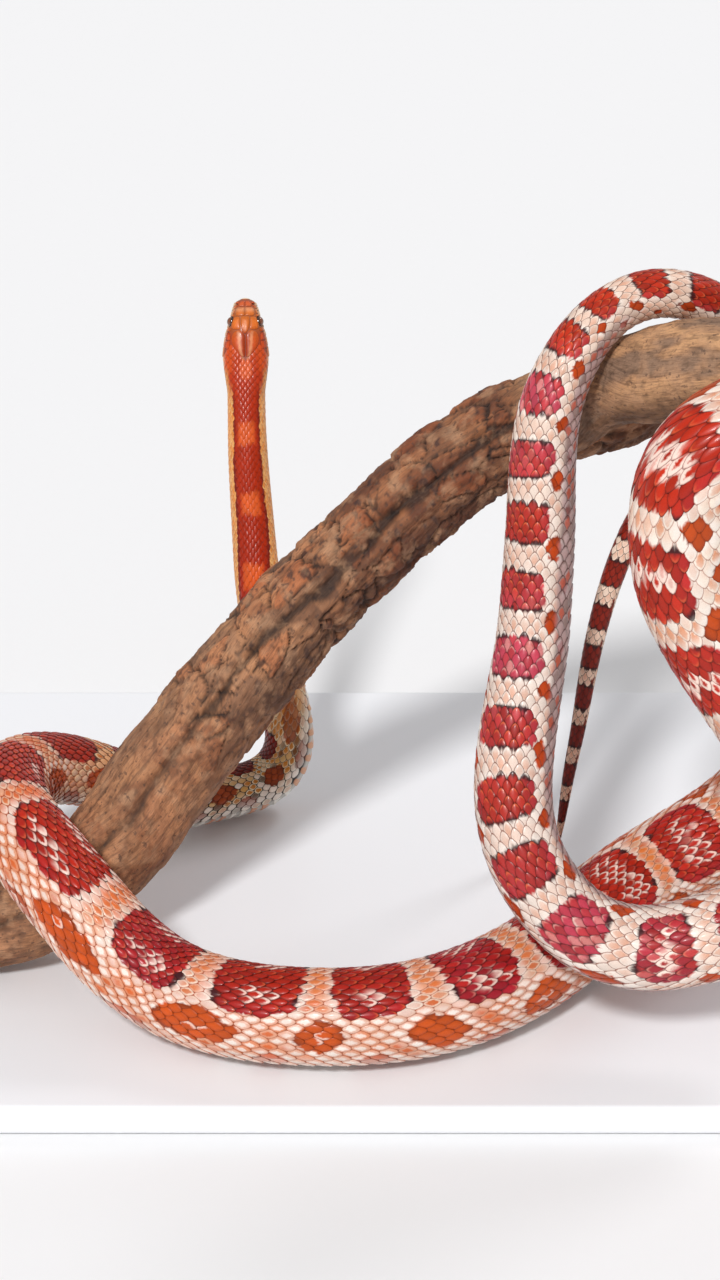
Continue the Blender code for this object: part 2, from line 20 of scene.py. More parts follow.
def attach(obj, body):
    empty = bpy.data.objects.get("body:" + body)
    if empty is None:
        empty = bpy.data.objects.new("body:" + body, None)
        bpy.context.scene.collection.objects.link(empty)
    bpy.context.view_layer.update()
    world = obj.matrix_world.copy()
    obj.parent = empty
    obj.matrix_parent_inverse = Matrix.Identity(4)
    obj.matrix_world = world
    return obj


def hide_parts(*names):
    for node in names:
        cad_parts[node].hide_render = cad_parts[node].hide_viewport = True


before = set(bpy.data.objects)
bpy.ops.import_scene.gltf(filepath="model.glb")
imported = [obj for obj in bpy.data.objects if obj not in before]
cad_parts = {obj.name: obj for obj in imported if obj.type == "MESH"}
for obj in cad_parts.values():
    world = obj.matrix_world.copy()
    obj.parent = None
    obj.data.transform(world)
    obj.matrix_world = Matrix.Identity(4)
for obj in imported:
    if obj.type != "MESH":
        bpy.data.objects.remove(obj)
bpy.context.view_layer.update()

LOG = logging.getLogger("corn_snake")
MM = 0.001
SEED = 27

# Head frame: the nape, and the directions of the snout and of the crown
NAPE = (-38.0, 84.5, 147.0)
SNOUT_WAY = (-0.012, 0.469, 0.883)
CROWN_WAY = (0.0, -0.883, 0.469)
HEAD_LENGTH = 33.3

# Every length of the body: its node, the way its back faces at its middle, and its waypoints (x, y, z, width)
LENGTHS = (
    ("neck", (0.0, -0.92, 0.38), (
        (-38, 84.5, 147, 12.8), (-37.9, 81.3, 141, 12.8), (-37.5, 76, 129.5, 13.4), (-36, 68, 109, 14.4),
        (-34, 59, 88, 15.6), (-29, 53, 61, 16.8))),
    ("body_back_bend", (-0.83, 0.16, 0.53), (
        (-24.5, 49.5, 46, 17.4), (-23.5, 48, 34, 17.8), (-27.5, 46, 25, 18.2), (-35, 43, 20.6, 18.6),
        (-44.5, 39, 20.3, 19.0))),
    ("body_back", (0.48, 0.33, 0.81), (
        (-54.5, 33.5, 21.4, 19.6), (-64, 27.5, 24, 20.4), (-74, 21, 32, 21.4), (-86, 12.5, 42, 22.6))),
    ("body_left_turn", (0.2, 0.16, 0.97), (
        (-97.5, 4, 50, 24.0), (-107.5, -8, 56, 25.4), (-112.5, -27, 60.5, 26.8), (-108, -49.5, 61.5, 28.2))),
    ("body_over_branch", (0.49, -0.31, 0.81), (
        (-98.5, -66, 58.5, 29.4), (-87, -77.5, 49.5, 30.0), (-74, -85.5, 37.5, 30.2))),
    ("body_front", (0.0, -0.07, 1.0), (
        (-59, -92, 28.5, 30.2), (-38, -101, 26.2, 30.2), (-10, -105, 26, 30.2), (14, -102, 26.1, 30.4),
        (34, -93, 26.4, 30.8))),
    ("body_crossing", (0.22, -0.21, 0.95), (
        (52, -78, 26.6, 30.8), (67, -60, 27, 30.6), (79, -44, 28.2, 30.4))),
    ("body_rear", (0.07, -0.66, 0.75), (
        (91, -32.5, 31, 30.4), (104.5, -24.5, 35.5, 30.5), (119, -17, 41.5, 30.8))),
    ("body_rise_lower", (0.55, -0.8, 0.2), (
        (135, -8, 52, 31.4), (149, 0, 70, 32.0), (157, 7, 95, 32.6))),
    ("body_rise_upper", (1.0, 0.15, 0.0), (
        (159.5, 11, 124, 33.0), (160, 12, 154, 33.2), (160, 9, 179, 33.2))),
    ("body_over_limb", (0.1, 0.25, 0.95), (
        (159.5, -2, 202, 33.2), (159, -18.5, 222.5, 33.2), (156, -46, 231.5, 33.2))),
    ("body_hanging_bend", (-0.15, -0.75, 0.65), (
        (147, -68.5, 222.5, 33.0), (130, -76.5, 217, 32.8), (111.5, -78, 210.5, 32.6))),
    ("body_hanging_upper", (-0.78, -0.55, 0.3), (
        (103.5, -80, 206.5, 32.5), (98, -81.5, 201, 32.4), (94.5, -82, 193, 32.4), (93.5, -83, 181, 32.4))),
    ("body_hanging_lower", (-0.78, -0.55, 0.3), (
        (96, -84, 164, 32.6), (103.5, -85, 148, 32.6), (113.5, -87, 132, 32.2))),
    ("body_low_turn", (-0.5, -0.8, 0.3), (
        (124.5, -89, 114, 31.4), (132, -92, 96, 30.4), (134, -95, 78.5, 29.4), (127, -98, 63, 28.6))),
    ("body_bottom_loop", (0.0, -0.88, 0.47), (
        (112.5, -100, 54.5, 27.7), (98, -101, 50, 26.8), (84, -100.5, 48, 26.0), (69, -98, 52, 24.8))),
    ("body_climb_turn", (-0.25, -0.84, 0.48), (
        (57, -93, 62, 24.0), (49.5, -86, 73, 23.8), (46.5, -77.5, 84.5, 24.0))),
    ("body_climb", (-0.65, -0.65, 0.39), (
        (47, -69, 97, 24.0), (49.5, -59.5, 111, 23.4), (52.5, -50, 126.5, 22.6), (54, -41, 142.5, 22.0),
        (55, -33, 159, 21.4), (55.5, -25.5, 174, 20.6), (57.5, -18.5, 188.5, 19.6))),
    ("body_arch", (-0.24, -0.31, 0.92), (
        (62.5, -12, 200, 18.2), (69.5, -5.5, 209, 16.8), (78.5, 0.5, 215, 15.8), (89.5, 5, 217.5, 15.4),
        (101.5, 8.5, 215, 15.0))),
    ("body_vent", (0.8, -0.59, 0.09), (
        (113.5, 15, 206.5, 14.4), (120.5, 19.5, 195.5, 13.4), (120, 20.5, 183, 12.4))),
    ("tail_upper", (-0.05, -0.85, 0.52), (
        (113.5, 19, 172, 11.4), (104.5, 14, 161, 10.3), (94.5, 8, 150, 9.1), (86, 3, 137.5, 8.0))),
    ("tail_middle", (-0.3, -0.85, 0.4), (
        (80, -1, 123, 7.2), (75.5, -5, 107, 6.5), (72.5, -8.5, 91.5, 5.8))),
    ("tail_tip", (-0.3, -0.85, 0.4), (
        (70, -12, 75, 4.9), (67, -15.5, 58.5, 3.9), (65, -18.5, 44, 2.7), (63.5, -20.5, 34, 1.3))),
)

# The branch with its long limb, and the short broken stub at the fork: (x, y, z, radius) in mm
BRANCH = (
    (-128, -53.5, 26, 14.5), (-108, -51, 28, 15.0), (-89, -45, 37.5, 15.8), (-75, -38, 51, 17.0),
    (-63, -31, 66.5, 17.2), (-48.5, -23, 83.5, 17.0), (-31.5, -15, 103, 16.6), (-11, -7, 123.5, 16.0),
    (9.5, 1, 141.5, 15.8), (28.5, 6, 157, 15.8), (46, 9.5, 168, 16.0), (62, 9.5, 176, 14.8),
    (77, 4, 187, 13.4), (87.5, -3, 193, 15.2), (100.5, -11, 199.5, 15.8), (114.5, -20, 203.5, 15.5),
    (131, -31, 203, 15.2), (148, -42, 200, 15.0), (163, -51, 196, 14.8), (175, -58, 193, 14.5),
)
STUB = ((61, 15, 170, 13.0), (70, 21, 169, 13.5), (81, 28, 167, 13.0), (92, 36, 166, 11.5))
BRANCH_NODES = ("branch_lower", "branch_middle", "branch_fork", "branch_limb")

Colour = tuple[float, float, float]


class Slot(Enum):
    """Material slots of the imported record."""

    HEAD_SKIN = "head_skin"
    BODY_SKIN = "body_skin"
    EYE = "eye"
    BARK = "bark"
    PLATE = "stand_plate"
    ROD = "stand_rod"


def linear(colours: Sequence) -> np.ndarray:
    """Turns colours given as 0 to 255 into linear light.

    Args:
        colours: one colour, or rows of them.

    Returns:
        The same shape, each value from 0 to 1.
    """
    scaled = np.asarray(colours, float) / 255.0
    return np.where(scaled <= 0.04045, scaled / 12.92, ((scaled + 0.055) / 1.055) ** 2.4)


def smooth_step(value: np.ndarray, low: float, high: float) -> np.ndarray:
    """A soft ramp from 0 at low to 1 at high."""
    share = np.clip((value - low) / (high - low), 0.0, 1.0)
    return share * share * (3.0 - 2.0 * share)


def bell(value: np.ndarray, middle: float, spread: float) -> np.ndarray:
    """A bump of height 1 about middle."""
    return np.exp(-(((value - middle) / spread) ** 2))


def blend(first: np.ndarray, second: np.ndarray, share: np.ndarray) -> np.ndarray:
    """Mixes two sets of colours by a share for each row."""
    weight = np.clip(np.asarray(share, float), 0.0, 1.0)[..., None]
    return first * (1.0 - weight) + second * weight


class Centreline:
    """A smooth line through waypoints, read by the distance along it in mm."""

    STEP = 2.0
    SMOOTHING = 6

    def __init__(self, rows: Sequence) -> None:
        """Builds the line from rows of x, y, z and width."""
        table = np.array(rows, float)
        line = self.through(table)
        along = self.distances(line)
        places = np.linspace(0.0, along[-1], int(along[-1] / self.STEP) + 1)
        line = np.stack([np.interp(places, along, line[:, k]) for k in range(4)], axis=-1)
        for _ in range(self.SMOOTHING):
            line[1:-1] = 0.25 * line[:-2] + 0.5 * line[1:-1] + 0.25 * line[2:]
        self.line = line
        self.along = self.distances(line)
        self.length = float(self.along[-1])
        nearest = [np.argmin(np.linalg.norm(line[:, :3] - row[:3], axis=1)) for row in table]
        self.waypoints = self.along[nearest]
        self.tangents = np.gradient(line[:, :3], self.along, axis=0)
        self.backs = np.zeros_like(self.tangents)

    @staticmethod
    def distances(line: np.ndarray) -> np.ndarray:
        """The distance along the line to each of its points."""
        steps = np.linalg.norm(np.diff(line[:, :3], axis=0), axis=1)
        return np.concatenate([[0.0], np.cumsum(steps)])

    @staticmethod
    def through(rows: np.ndarray, pieces: int = 12) -> np.ndarray:
        """A centripetal spline through the rows, with the end rows' own neighbours mirrored."""
        ends = np.vstack([2 * rows[0] - rows[1], rows, 2 * rows[-1] - rows[-2]])
        found = []
        for p0, p1, p2, p3 in zip(ends, ends[1:], ends[2:], ends[3:]):
            knots = [0.0]
            for a, b in ((p0, p1), (p1, p2), (p2, p3)):
                knots.append(knots[-1] + math.sqrt(np.linalg.norm(b[:3] - a[:3])))
            t0, t1, t2, t3 = knots
            t = np.linspace(t1, t2, pieces, endpoint=False)[:, None]
            a1 = (t1 - t) / (t1 - t0) * p0 + (t - t0) / (t1 - t0) * p1
            a2 = (t2 - t) / (t2 - t1) * p1 + (t - t1) / (t2 - t1) * p2
            a3 = (t3 - t) / (t3 - t2) * p2 + (t - t2) / (t3 - t2) * p3
            b1 = (t2 - t) / (t2 - t0) * a1 + (t - t0) / (t2 - t0) * a2
            b2 = (t3 - t) / (t3 - t1) * a2 + (t - t1) / (t3 - t1) * a3
            found.append((t2 - t) / (t2 - t1) * b1 + (t - t1) / (t2 - t1) * b2)
        return np.vstack(found + [rows[-1:]])

    def face(self, places: Sequence, ways: Sequence) -> None:
        """Sets the way the back faces: blended between the given places and kept square to the line."""
        table = np.array(ways, float)
        blended = np.stack([np.interp(self.along, places, table[:, k]) for k in range(3)], axis=-1)
        tangents = self.tangents / np.linalg.norm(self.tangents, axis=1)[:, None]
        blended -= (blended * tangents).sum(axis=1)[:, None] * tangents
        self.backs = blended / np.linalg.norm(blended, axis=1)[:, None]

    def prepend(self, length: float, forward: np.ndarray, back: np.ndarray, step: float = 1.0) -> None:
        """Adds a straight stretch before the start, with distances that run down from 0."""
        count = int(length / step) + 1
        places = -np.linspace(length + 2.0, step, count)
        extra = np.empty((count, 4))
        extra[:, :3] = self.line[0, :3] - forward * places[:, None]
        extra[:, 3] = self.line[0, 3]
        self.line = np.vstack([extra, self.line])
        self.along = np.concatenate([places, self.along])
        self.tangents = np.vstack([np.repeat(-forward[None], count, axis=0), self.tangents])
        self.backs = np.vstack([np.repeat(back[None], count, axis=0), self.backs])

    def at(self, places: np.ndarray) -> tuple[np.ndarray, ...]:
        """Reads the line.

        Args:
            places: distances along the line, in mm.

        Returns:
            The points, widths, back directions and side directions there.
        """
        def read(table: np.ndarray) -> np.ndarray:
            return np.stack([np.interp(places, self.along, table[:, k]) for k in range(3)], axis=-1)

        points = read(self.line[:, :3])
        widths = np.interp(places, self.along, self.line[:, 3])
        ways = read(self.tangents)
        ways /= np.linalg.norm(ways, axis=-1)[..., None]
        backs = read(self.backs)
        backs -= (backs * ways).sum(axis=-1)[..., None] * ways
        backs /= np.linalg.norm(backs, axis=-1)[..., None]
        return points, widths, backs, np.cross(backs, ways)


@dataclass(frozen=True)
class HeadForm:
    """The head's surface as a table of radius by distance back from the snout and by angle from the crown."""

    profile: tuple = (
        (0.0, 1.7, 1.3, 0.9), (0.8, 2.9, 2.3, 1.6), (2.0, 3.6, 3.0, 2.2), (4.0, 4.3, 3.8, 2.7),
        (6.5, 5.1, 4.7, 3.2), (9.0, 5.8, 5.3, 3.7), (12.0, 6.6, 5.7, 4.1), (16.0, 7.25, 5.9, 4.6),
        (20.0, 7.55, 6.0, 5.0), (24.0, 7.4, 6.0, 5.4), (28.0, 6.9, 6.2, 5.7), (32.0, 6.4, 6.4, 5.5),
        (44.0, 6.4, 6.4, 5.9),
    )
    section: tuple = (
        (0.0, 1.0), (0.28, 0.985), (0.52, 0.93), (0.74, 0.80), (0.90, 0.55), (0.985, 0.28), (1.0, 0.06),
        (0.97, -0.12), (0.90, -0.42), (0.72, -0.72), (0.42, -0.93), (0.0, -1.0),
    )
    mouth_corner: float = 20.5
    mouth_angle: float = 91.0
    eye_back: float = 8.2
    eye_out: float = 4.4
    eye_up: float = 2.35
    eye_radius: float = 1.75
    socket_radius: float = 1.65
    nostril_back: float = 2.4
    nostril_up: float = 2.0
    snout_round: float = 1.6
    step: float = 0.1

    def mouth(self, back: np.ndarray) -> np.ndarray:
        """Height of the mouth's line over the axis."""
        rise = np.minimum(back, self.mouth_corner) / self.mouth_corner
        fade = np.clip((back - self.mouth_corner) / (HEAD_LENGTH - self.mouth_corner), 0.0, 1.0)
        return (0.9 * rise - 0.3) * (1.0 - fade)

    def table(self) -> tuple[np.ndarray, np.ndarray, np.ndarray]:
        """Works out the radius over the whole head.

        Returns:
            The distances back, the angles, and the radii as rows of distance and columns of angle.
        """
        backs = np.arange(0.0, 44.0, self.step)
        angles = np.arange(0.0, 181.0, 1.0)
        stations, *sizes = (np.array(column) for column in zip(*self.profile))
        half, height, depth = (self.softened(np.interp(backs, stations, size)) for size in sizes)
        middle = self.mouth(backs)
        outs, ups = (np.array(column) for column in zip(*self.section))
        radii = np.empty((len(backs), len(angles)))
        kernel = np.hanning(11)
        kernel /= kernel.sum()
        for k in range(len(backs)):
            up = ups * np.where(ups > 0, height[k] - middle[k], depth[k] + middle[k])
            out = outs * half[k]
            turns = np.degrees(np.arctan2(out, up))
            row = np.interp(angles, turns, np.hypot(out, up))
            padded = np.concatenate([row[5:0:-1], row, row[-2:-7:-1]])
            radii[k] = np.convolve(padded, kernel, mode="valid")
        radii *= np.sqrt(np.clip(1.0 - (1.0 - np.minimum(backs / self.snout_round, 1.0)) ** 2, 0, 1))[:, None]
        return backs, angles, radii + self.features(backs[:, None], angles[None], radii)

    @staticmethod
    def softened(values: np.ndarray, reach: int = 9) -> np.ndarray:
        """Rounds the corners of a profile, leaving its first stretch as it is."""
        kernel = np.hanning(2 * reach + 1)
        kernel /= kernel.sum()
        padded = np.concatenate([np.repeat(values[0], reach), values, np.repeat(values[-1], reach)])
        rounded = np.convolve(padded, kernel, mode="valid")
        share = np.clip(np.arange(len(values)) / (2.0 * reach), 0.0, 1.0)
        return values * (1.0 - share) + rounded * share

    def features(self, back: np.ndarray, angle: np.ndarray, radii: np.ndarray) -> np.ndarray:
        """Brows, cheeks, lips, the mouth's groove, the eye sockets and the nostrils, as changes of radius."""
        up = self.mouth(back) + radii * np.cos(np.radians(angle))
        change = 0.16 * bell(back, 8.8, 2.2) * bell(angle, 40.0, 9.0)
        change -= 0.36 * bell(back, 8.2, 2.8) * bell(angle, 74.0, 20.0)
        change -= 0.30 * bell(back, 5.0, 1.3) * bell(angle, 64.0, 9.0)
        change += 0.25 * bell(back, 20.0, 3.4) * bell(angle, 96.0, 20.0)
        change -= 0.14 * bell(back, 16.0, 4.0) * bell(angle, 0.0, 6.0)
        change -= 0.10 * bell(back, 5.0, 2.5) * bell(angle, 0.0, 7.0)
        lips = smooth_step(back, 0.2, 1.5) * (1.0 - smooth_step(back, 19.0, 22.0))
        change += lips * 0.20 * (bell(angle, self.mouth_angle - 9.0, 6.0) + bell(angle, self.mouth_angle + 9.0, 6.0))
        change -= lips * 0.55 * bell(angle, self.mouth_angle, 2.3)
        from_eye = np.hypot(back - self.eye_back, up - self.eye_up)
        side = smooth_step(angle, 25.0, 40.0) * (1.0 - smooth_step(angle, 100.0, 115.0))
        change -= side * 1.1 * (1.0 - smooth_step(from_eye, 1.2, self.socket_radius))
        change += side * 0.14 * bell(from_eye, self.socket_radius + 0.25, 0.35)
        from_nostril = np.hypot(back - self.nostril_back, up - self.nostril_up)
        change -= side * 0.8 * bell(from_nostril, 0.0, 0.42)
        return change


class SnakeForm:
    """The snake's surface, from the tip of the snout to the tip of the tail."""

    BELLY_EDGE = 134.0
    SECTION = ((0, 1.0), (120, 1.0), (140, 0.998), (148, 0.985), (164, 0.91), (180, 0.88))
    TAIL_START = 1393.0
    COAT = 0.42
    FULL_WIDTH = 22.0

    def __init__(self) -> None:
        """Builds the centreline and the head's table."""
        forward = np.array(SNOUT_WAY) / np.linalg.norm(SNOUT_WAY)
        crown = np.array(CROWN_WAY)
        crown -= crown.dot(forward) * forward
        self.forward, self.crown = forward, crown / np.linalg.norm(crown)
        self.right = np.cross(self.crown, -self.forward)
        self.tip = np.array(NAPE) + self.forward * HEAD_LENGTH
        self.line = Centreline([row for _, _, rows in LENGTHS for row in rows])
        places, passed = [], 0
        for _, _, rows in LENGTHS:
            stretch = self.line.waypoints[passed:passed + len(rows)]
            places.append(0.5 * (stretch[0] + stretch[-1]))
            passed += len(rows)
        self.line.face([0.0] + places, [CROWN_WAY] + [back for _, back, _ in LENGTHS])
        self.line.prepend(HEAD_LENGTH, self.forward, self.crown)
        self.length = self.line.length
        self.head = HeadForm()
        self.head_backs, self.head_angles, self.head_radii = self.head.table()

    def head_radius(self, back: np.ndarray, angle: np.ndarray) -> np.ndarray:
        """The head's radius there, read from its table."""
        step = self.head.step
        row = np.clip(back / step, 0.0, len(self.head_backs) - 1.001)
        column = np.clip(np.abs(angle), 0.0, 179.999)
        r, c = row.astype(int), column.astype(int)
        fr, fc = row - r, column - c
        table = self.head_radii
        near = table[r, c] * (1 - fc) + table[r, c + 1] * fc
        far = table[r + 1, c] * (1 - fc) + table[r + 1, c + 1] * fc
        return near * (1 - fr) + far * fr

    def radius(self, place: np.ndarray, angle: np.ndarray, width: np.ndarray) -> np.ndarray:
        """The radius at the tops of the scales, in mm."""
        turns, shares = zip(*self.SECTION)
        flat = np.interp(np.abs(angle), turns, shares)
        round_tail = smooth_step(place, self.TAIL_START, self.TAIL_START + 40.0)
        body = 0.5 * width * (flat + (1.0 - flat) * round_tail * 0.6)
        head = self.head_radius(place + HEAD_LENGTH, angle)
        share = smooth_step(place, -7.0, 6.0)
        return head * (1.0 - share) + body * share

    def coat(self, place: np.ndarray) -> np.ndarray:
        """How thick the scales are there, as a part of their full thickness."""
        width = np.interp(place, self.line.along, self.line.line[:, 3])
        return np.clip(width / self.FULL_WIDTH, 0.16, 1.15)

    def point(self, place: np.ndarray, angle: np.ndarray, lift: np.ndarray) -> np.ndarray:
        """A point of the surface in the world.

        Args:
            place: distance along the snake from the nape, in mm.
            angle: degrees from the middle of the back.
            lift: height over the tops of the scales, in mm.

        Returns:
            Rows of x, y and z in metres.
        """
        points, widths, backs, sides = self.line.at(place)
        reach = self.radius(place, angle, widths) + lift
        turn = np.radians(angle)
        offset = self.head.mouth(place + HEAD_LENGTH)
        offset = np.where(place < 0.0, offset, 0.0)
        points = points + offset[..., None] * backs
        out = (reach * np.cos(turn))[..., None] * backs + (reach * np.sin(turn))[..., None] * sides
        return (points + out) * MM

    def unwrap(self, place: np.ndarray, angle: np.ndarray) -> np.ndarray:
        """The place on an unwrap of the skin in strips, as u and v from 0 to 1."""
        strips = 4
        share = (place + HEAD_LENGTH + 1.0) / (self.length + HEAD_LENGTH + 2.0) * strips
        strip = np.clip(np.floor(share), 0, strips - 1)
        u = 0.01 + 0.98 * (share - strip)
        v = (strip + 0.04 + 0.92 * (angle + 180.0) / 360.0) / strips
        return np.stack([u, v], axis=-1)


class Ramp:
    """A colour that changes along the snake through given stops."""

    def __init__(self, *stops: tuple) -> None:
        """Takes stops of place and 0 to 255 colour."""
        self.places = np.array([place for place, _ in stops], float)
        self.colours = linear([colour for _, colour in stops])

    def at(self, place: np.ndarray) -> np.ndarray:
        """The colours at the places."""
        return np.stack([np.interp(place, self.places, self.colours[:, k]) for k in range(3)], axis=-1)


class Markings:
    """The snake's pattern: saddles, two rows of side blotches, the pale ground and the belly's checks, with some
    painted highlights and painted shade.
    """

    # Places of the saddles' middles and their numbers from the nape
    SADDLES = (
        (-32, -1.5), (1, 0), (23, 1), (47, 2), (121, 5), (145, 6), (197, 8), (226, 9), (262, 10), (305, 11),
        (350, 12), (391, 13), (422, 14), (454, 15), (487, 16), (523, 17), (554, 18), (897, 29), (924, 30),
        (956, 31), (1058, 34), (1082, 35), (1113, 36), (1134, 37), (1154, 38), (1176, 39), (1240, 42),
        (1277, 44), (1295, 45), (1308, 46), (1323, 47), (1340, 48), (1455, 55), (1470, 56), (1549, 62),
    )
    # How far a saddle reaches along the body, as a part of the distance between saddles, and round it in degrees
    HALF_LENGTH = ((0, 0.40), (60, 0.37), (130, 0.33), (260, 0.36), (320, 0.36), (450, 0.35), (550, 0.37),
                   (900, 0.37), (1060, 0.34), (1134, 0.31), (1200, 0.30), (1295, 0.30), (1340, 0.31),
                   (1455, 0.30), (1549, 0.30))
    HALF_WIDTH = ((0, 44), (60, 47), (110, 52), (450, 52), (900, 52), (1200, 50), (1300, 50), (1340, 54),
                  (1400, 64), (1460, 90), (1549, 120))
    # The upper row of side blotches: its angle from the back, half length and half height, and its lag
    BLOTCH_ANGLE = ((0, 66), (110, 80), (450, 78), (880, 63), (1250, 61), (1400, 60), (1549, 60))
    BLOTCH_LENGTH = ((110, 0.28), (300, 0.26), (450, 0.25), (600, 0.22), (880, 0.18), (1549, 0.17))
    BLOTCH_HEIGHT = ((110, 22), (450, 22), (600, 21), (880, 19), (1150, 13), (1549, 14))
    BLOTCH_LAG = ((1040, 0.5), (1130, 0.37))
    # How pink the saddles are
    PINK = ((290, 0.0), (350, 0.55), (391, 0.0), (422, 0.15), (454, 0.7), (487, 0.1), (523, 0.0), (560, 0.2),
            (900, 0.0), (1060, 0.35), (1082, 0.55), (1113, 0.9), (1134, 0.2), (1154, 0.05), (1176, 0.3),
            (1198, 1.0), (1220, 0.3), (1240, 0.1), (1258, 0.45), (1277, 1.0), (1288, 0.3), (1295, 0.0))

    saddle = Ramp((0, (178, 46, 8)), (90, (168, 38, 8)), (125, (112, 28, 20)), (170, (124, 38, 24)),
                  (250, (184, 40, 12)), (300, (172, 32, 10)), (450, (170, 32, 10)), (900, (184, 42, 16)),
                  (1140, (170, 46, 32)), (1290, (184, 46, 18)), (1390, (166, 38, 18)), (1450, (140, 36, 20)),
                  (1549, (104, 28, 20)))
    crimson = Ramp((0, (160, 26, 48)), (600, (160, 26, 48)), (1060, (166, 34, 62)), (1100, (188, 62, 84)),
                   (1300, (204, 76, 96)))
    border = linear((38, 18, 22))
    # The ground, pale and between ramps turn darker and browner from about 500 to 620 mm, over the rear stretch:
    # painted shade from the coil above it
    ground = Ramp((0, (218, 132, 56)), (80, (214, 128, 54)), (125, (190, 118, 30)), (205, (194, 112, 38)),
                  (250, (212, 104, 46)), (330, (208, 112, 62)), (420, (208, 118, 74)), (500, (196, 102, 60)), (600, (190, 98, 58)),
                  (900, (214, 142, 104)), (1100, (216, 158, 130)), (1200, (216, 158, 130)),
                  (1340, (212, 148, 116)), (1400, (222, 168, 142)), (1460, (224, 180, 154)),
                  (1549, (196, 140, 114)))
    pale = Ramp((0, (236, 184, 118)), (80, (234, 180, 112)), (125, (246, 238, 206)), (205, (238, 210, 168)),
                (250, (236, 196, 160)), (330, (238, 208, 184)), (420, (238, 212, 192)), (500, (228, 190, 160)),
                 (620, (224, 186, 156)), (900, (240, 224, 208)),
                (1100, (232, 216, 204)), (1200, (230, 214, 202)), (1340, (232, 208, 190)),
                (1400, (242, 222, 204)), (1460, (242, 218, 198)), (1549, (222, 184, 160)))
    between = Ramp((0, (176, 84, 34)), (80, (160, 76, 34)), (125, (32, 18, 12)), (205, (62, 34, 20)),
                   (250, (172, 74, 38)), (420, (180, 88, 54)), (500, (140, 62, 38)), (620, (140, 62, 38)), (900, (170, 92, 66)),
                   (1134, (124, 58, 34)), (1220, (116, 56, 34)), (1340, (100, 48, 30)), (1400, (84, 36, 26)),
                   (1460, (50, 20, 16)), (1549, (36, 16, 14)))
    blotch = Ramp((0, (206, 104, 40)), (125, (150, 62, 18)), (205, (164, 68, 20)), (250, (196, 76, 20)),
                  (420, (200, 82, 24)), (560, (186, 74, 20)), (900, (190, 74, 22)), (1140, (184, 66, 22)),
                  (1290, (180, 66, 22)), (1450, (130, 46, 28)), (1549, (110, 42, 28)))
    gap_orange = Ramp((0, (226, 116, 54)), (200, (208, 98, 34)), (280, (226, 96, 26)), (330, (218, 108, 48)),
                      (450, (218, 124, 68)), (560, (214, 118, 56)), (900, (224, 156, 120)),
                      (1549, (220, 150, 118)))
    ginger = linear((206, 92, 36))
    neck_patch = linear((222, 92, 36))
    neck_edge = linear((112, 24, 10))
    # Painted highlight colours, for the lighter rims and tips of scales
    glint = linear((240, 118, 70))
    pink_glint = linear((236, 176, 164))
    # A grey-lilac that is partly the lower flanks' own colour and partly painted shade
    lilac_shade = linear((172, 144, 146))
    streak = linear((104, 66, 64))
    white = linear((240, 228, 218))
    net = linear((246, 218, 204))
    ochre = linear((204, 152, 58))
    # The belly runs greyer and more lilac from about 1130 to 1400 mm: partly the belly's own tint, partly painted shade
    # on the climb's lower side
    belly = Ramp((-32, (240, 226, 204)), (60, (238, 222, 196)), (125, (244, 244, 236)), (300, (238, 226, 214)),
                 (900, (232, 222, 214)), (1130, (216, 196, 194)), (1250, (196, 178, 184)),
                 (1400, (206, 184, 176)), (1549, (180, 146, 130)))
    check = Ramp((0, (226, 170, 100)), (110, (214, 130, 30)), (170, (206, 100, 30)), (300, (204, 90, 50)),
                 (1100, (176, 84, 64)), (1250, (160, 78, 64)), (1400, (150, 70, 54)), (1549, (110, 50, 38)))

    def __init__(self) -> None:
        """Draws each saddle's own wobble."""
        draw = np.random.default_rng(SEED)
        self.wobble = draw.uniform(-1.0, 1.0, (80, 2, 12))
        self.places, self.numbers = (np.array(column, float) for column in zip(*self.SADDLES))

    def own(self, index: np.ndarray, angle: np.ndarray, which: int) -> np.ndarray:
        """A fixed number from -1 to 1 for each saddle, and for each side of it."""
        row = np.clip(index.astype(int) + 4, 0, len(self.wobble) - 1)
        return self.wobble[row, (angle > 0).astype(int), which]

    def body(self, place: np.ndarray, angle: np.ndarray, draw: np.ndarray, along: np.ndarray
             ) -> tuple[np.ndarray, ...]:
        """Colours of the back and flanks.

        Args:
            place: distances along the snake.
            angle: degrees from the middle of the back.
            draw: four numbers from 0 to 1 for each point, the same all over one scale.
            along: each point's place on its own scale, from -1 at its front to 1 at its tip.

        Returns:
            The colour inside a scale, at its rim, and between the scales, and how far the rim is widened.
        """
        number = np.interp(place, self.places, self.numbers)
        index = np.round(number)
        turn = np.abs(angle)
        off = number - index + 0.02 * self.own(index, angle, 0)
        half = np.interp(place, *zip(*self.HALF_LENGTH)) + 0.018 * self.own(index, 0 * angle, 1)
        wide = np.interp(place, *zip(*self.HALF_WIDTH)) * (1.0 + 0.05 * self.own(index, angle, 2))
        ragged = 0.09 * (draw[:, 0] - 0.5)
        inside = ((np.abs(off) / half) ** 3.6 + (turn / wide) ** 3.6) ** (1 / 3.6) + ragged
        trunk = smooth_step(place, 210.0, 260.0) * (1.0 - smooth_step(place, 1380.0, 1430.0))
        front = 1.0 - smooth_step(place, 560.0, 860.0)
        collar = 1.0 - smooth_step(place, 92.0, 112.0)
        tip = smooth_step(along, -0.5, 0.7)

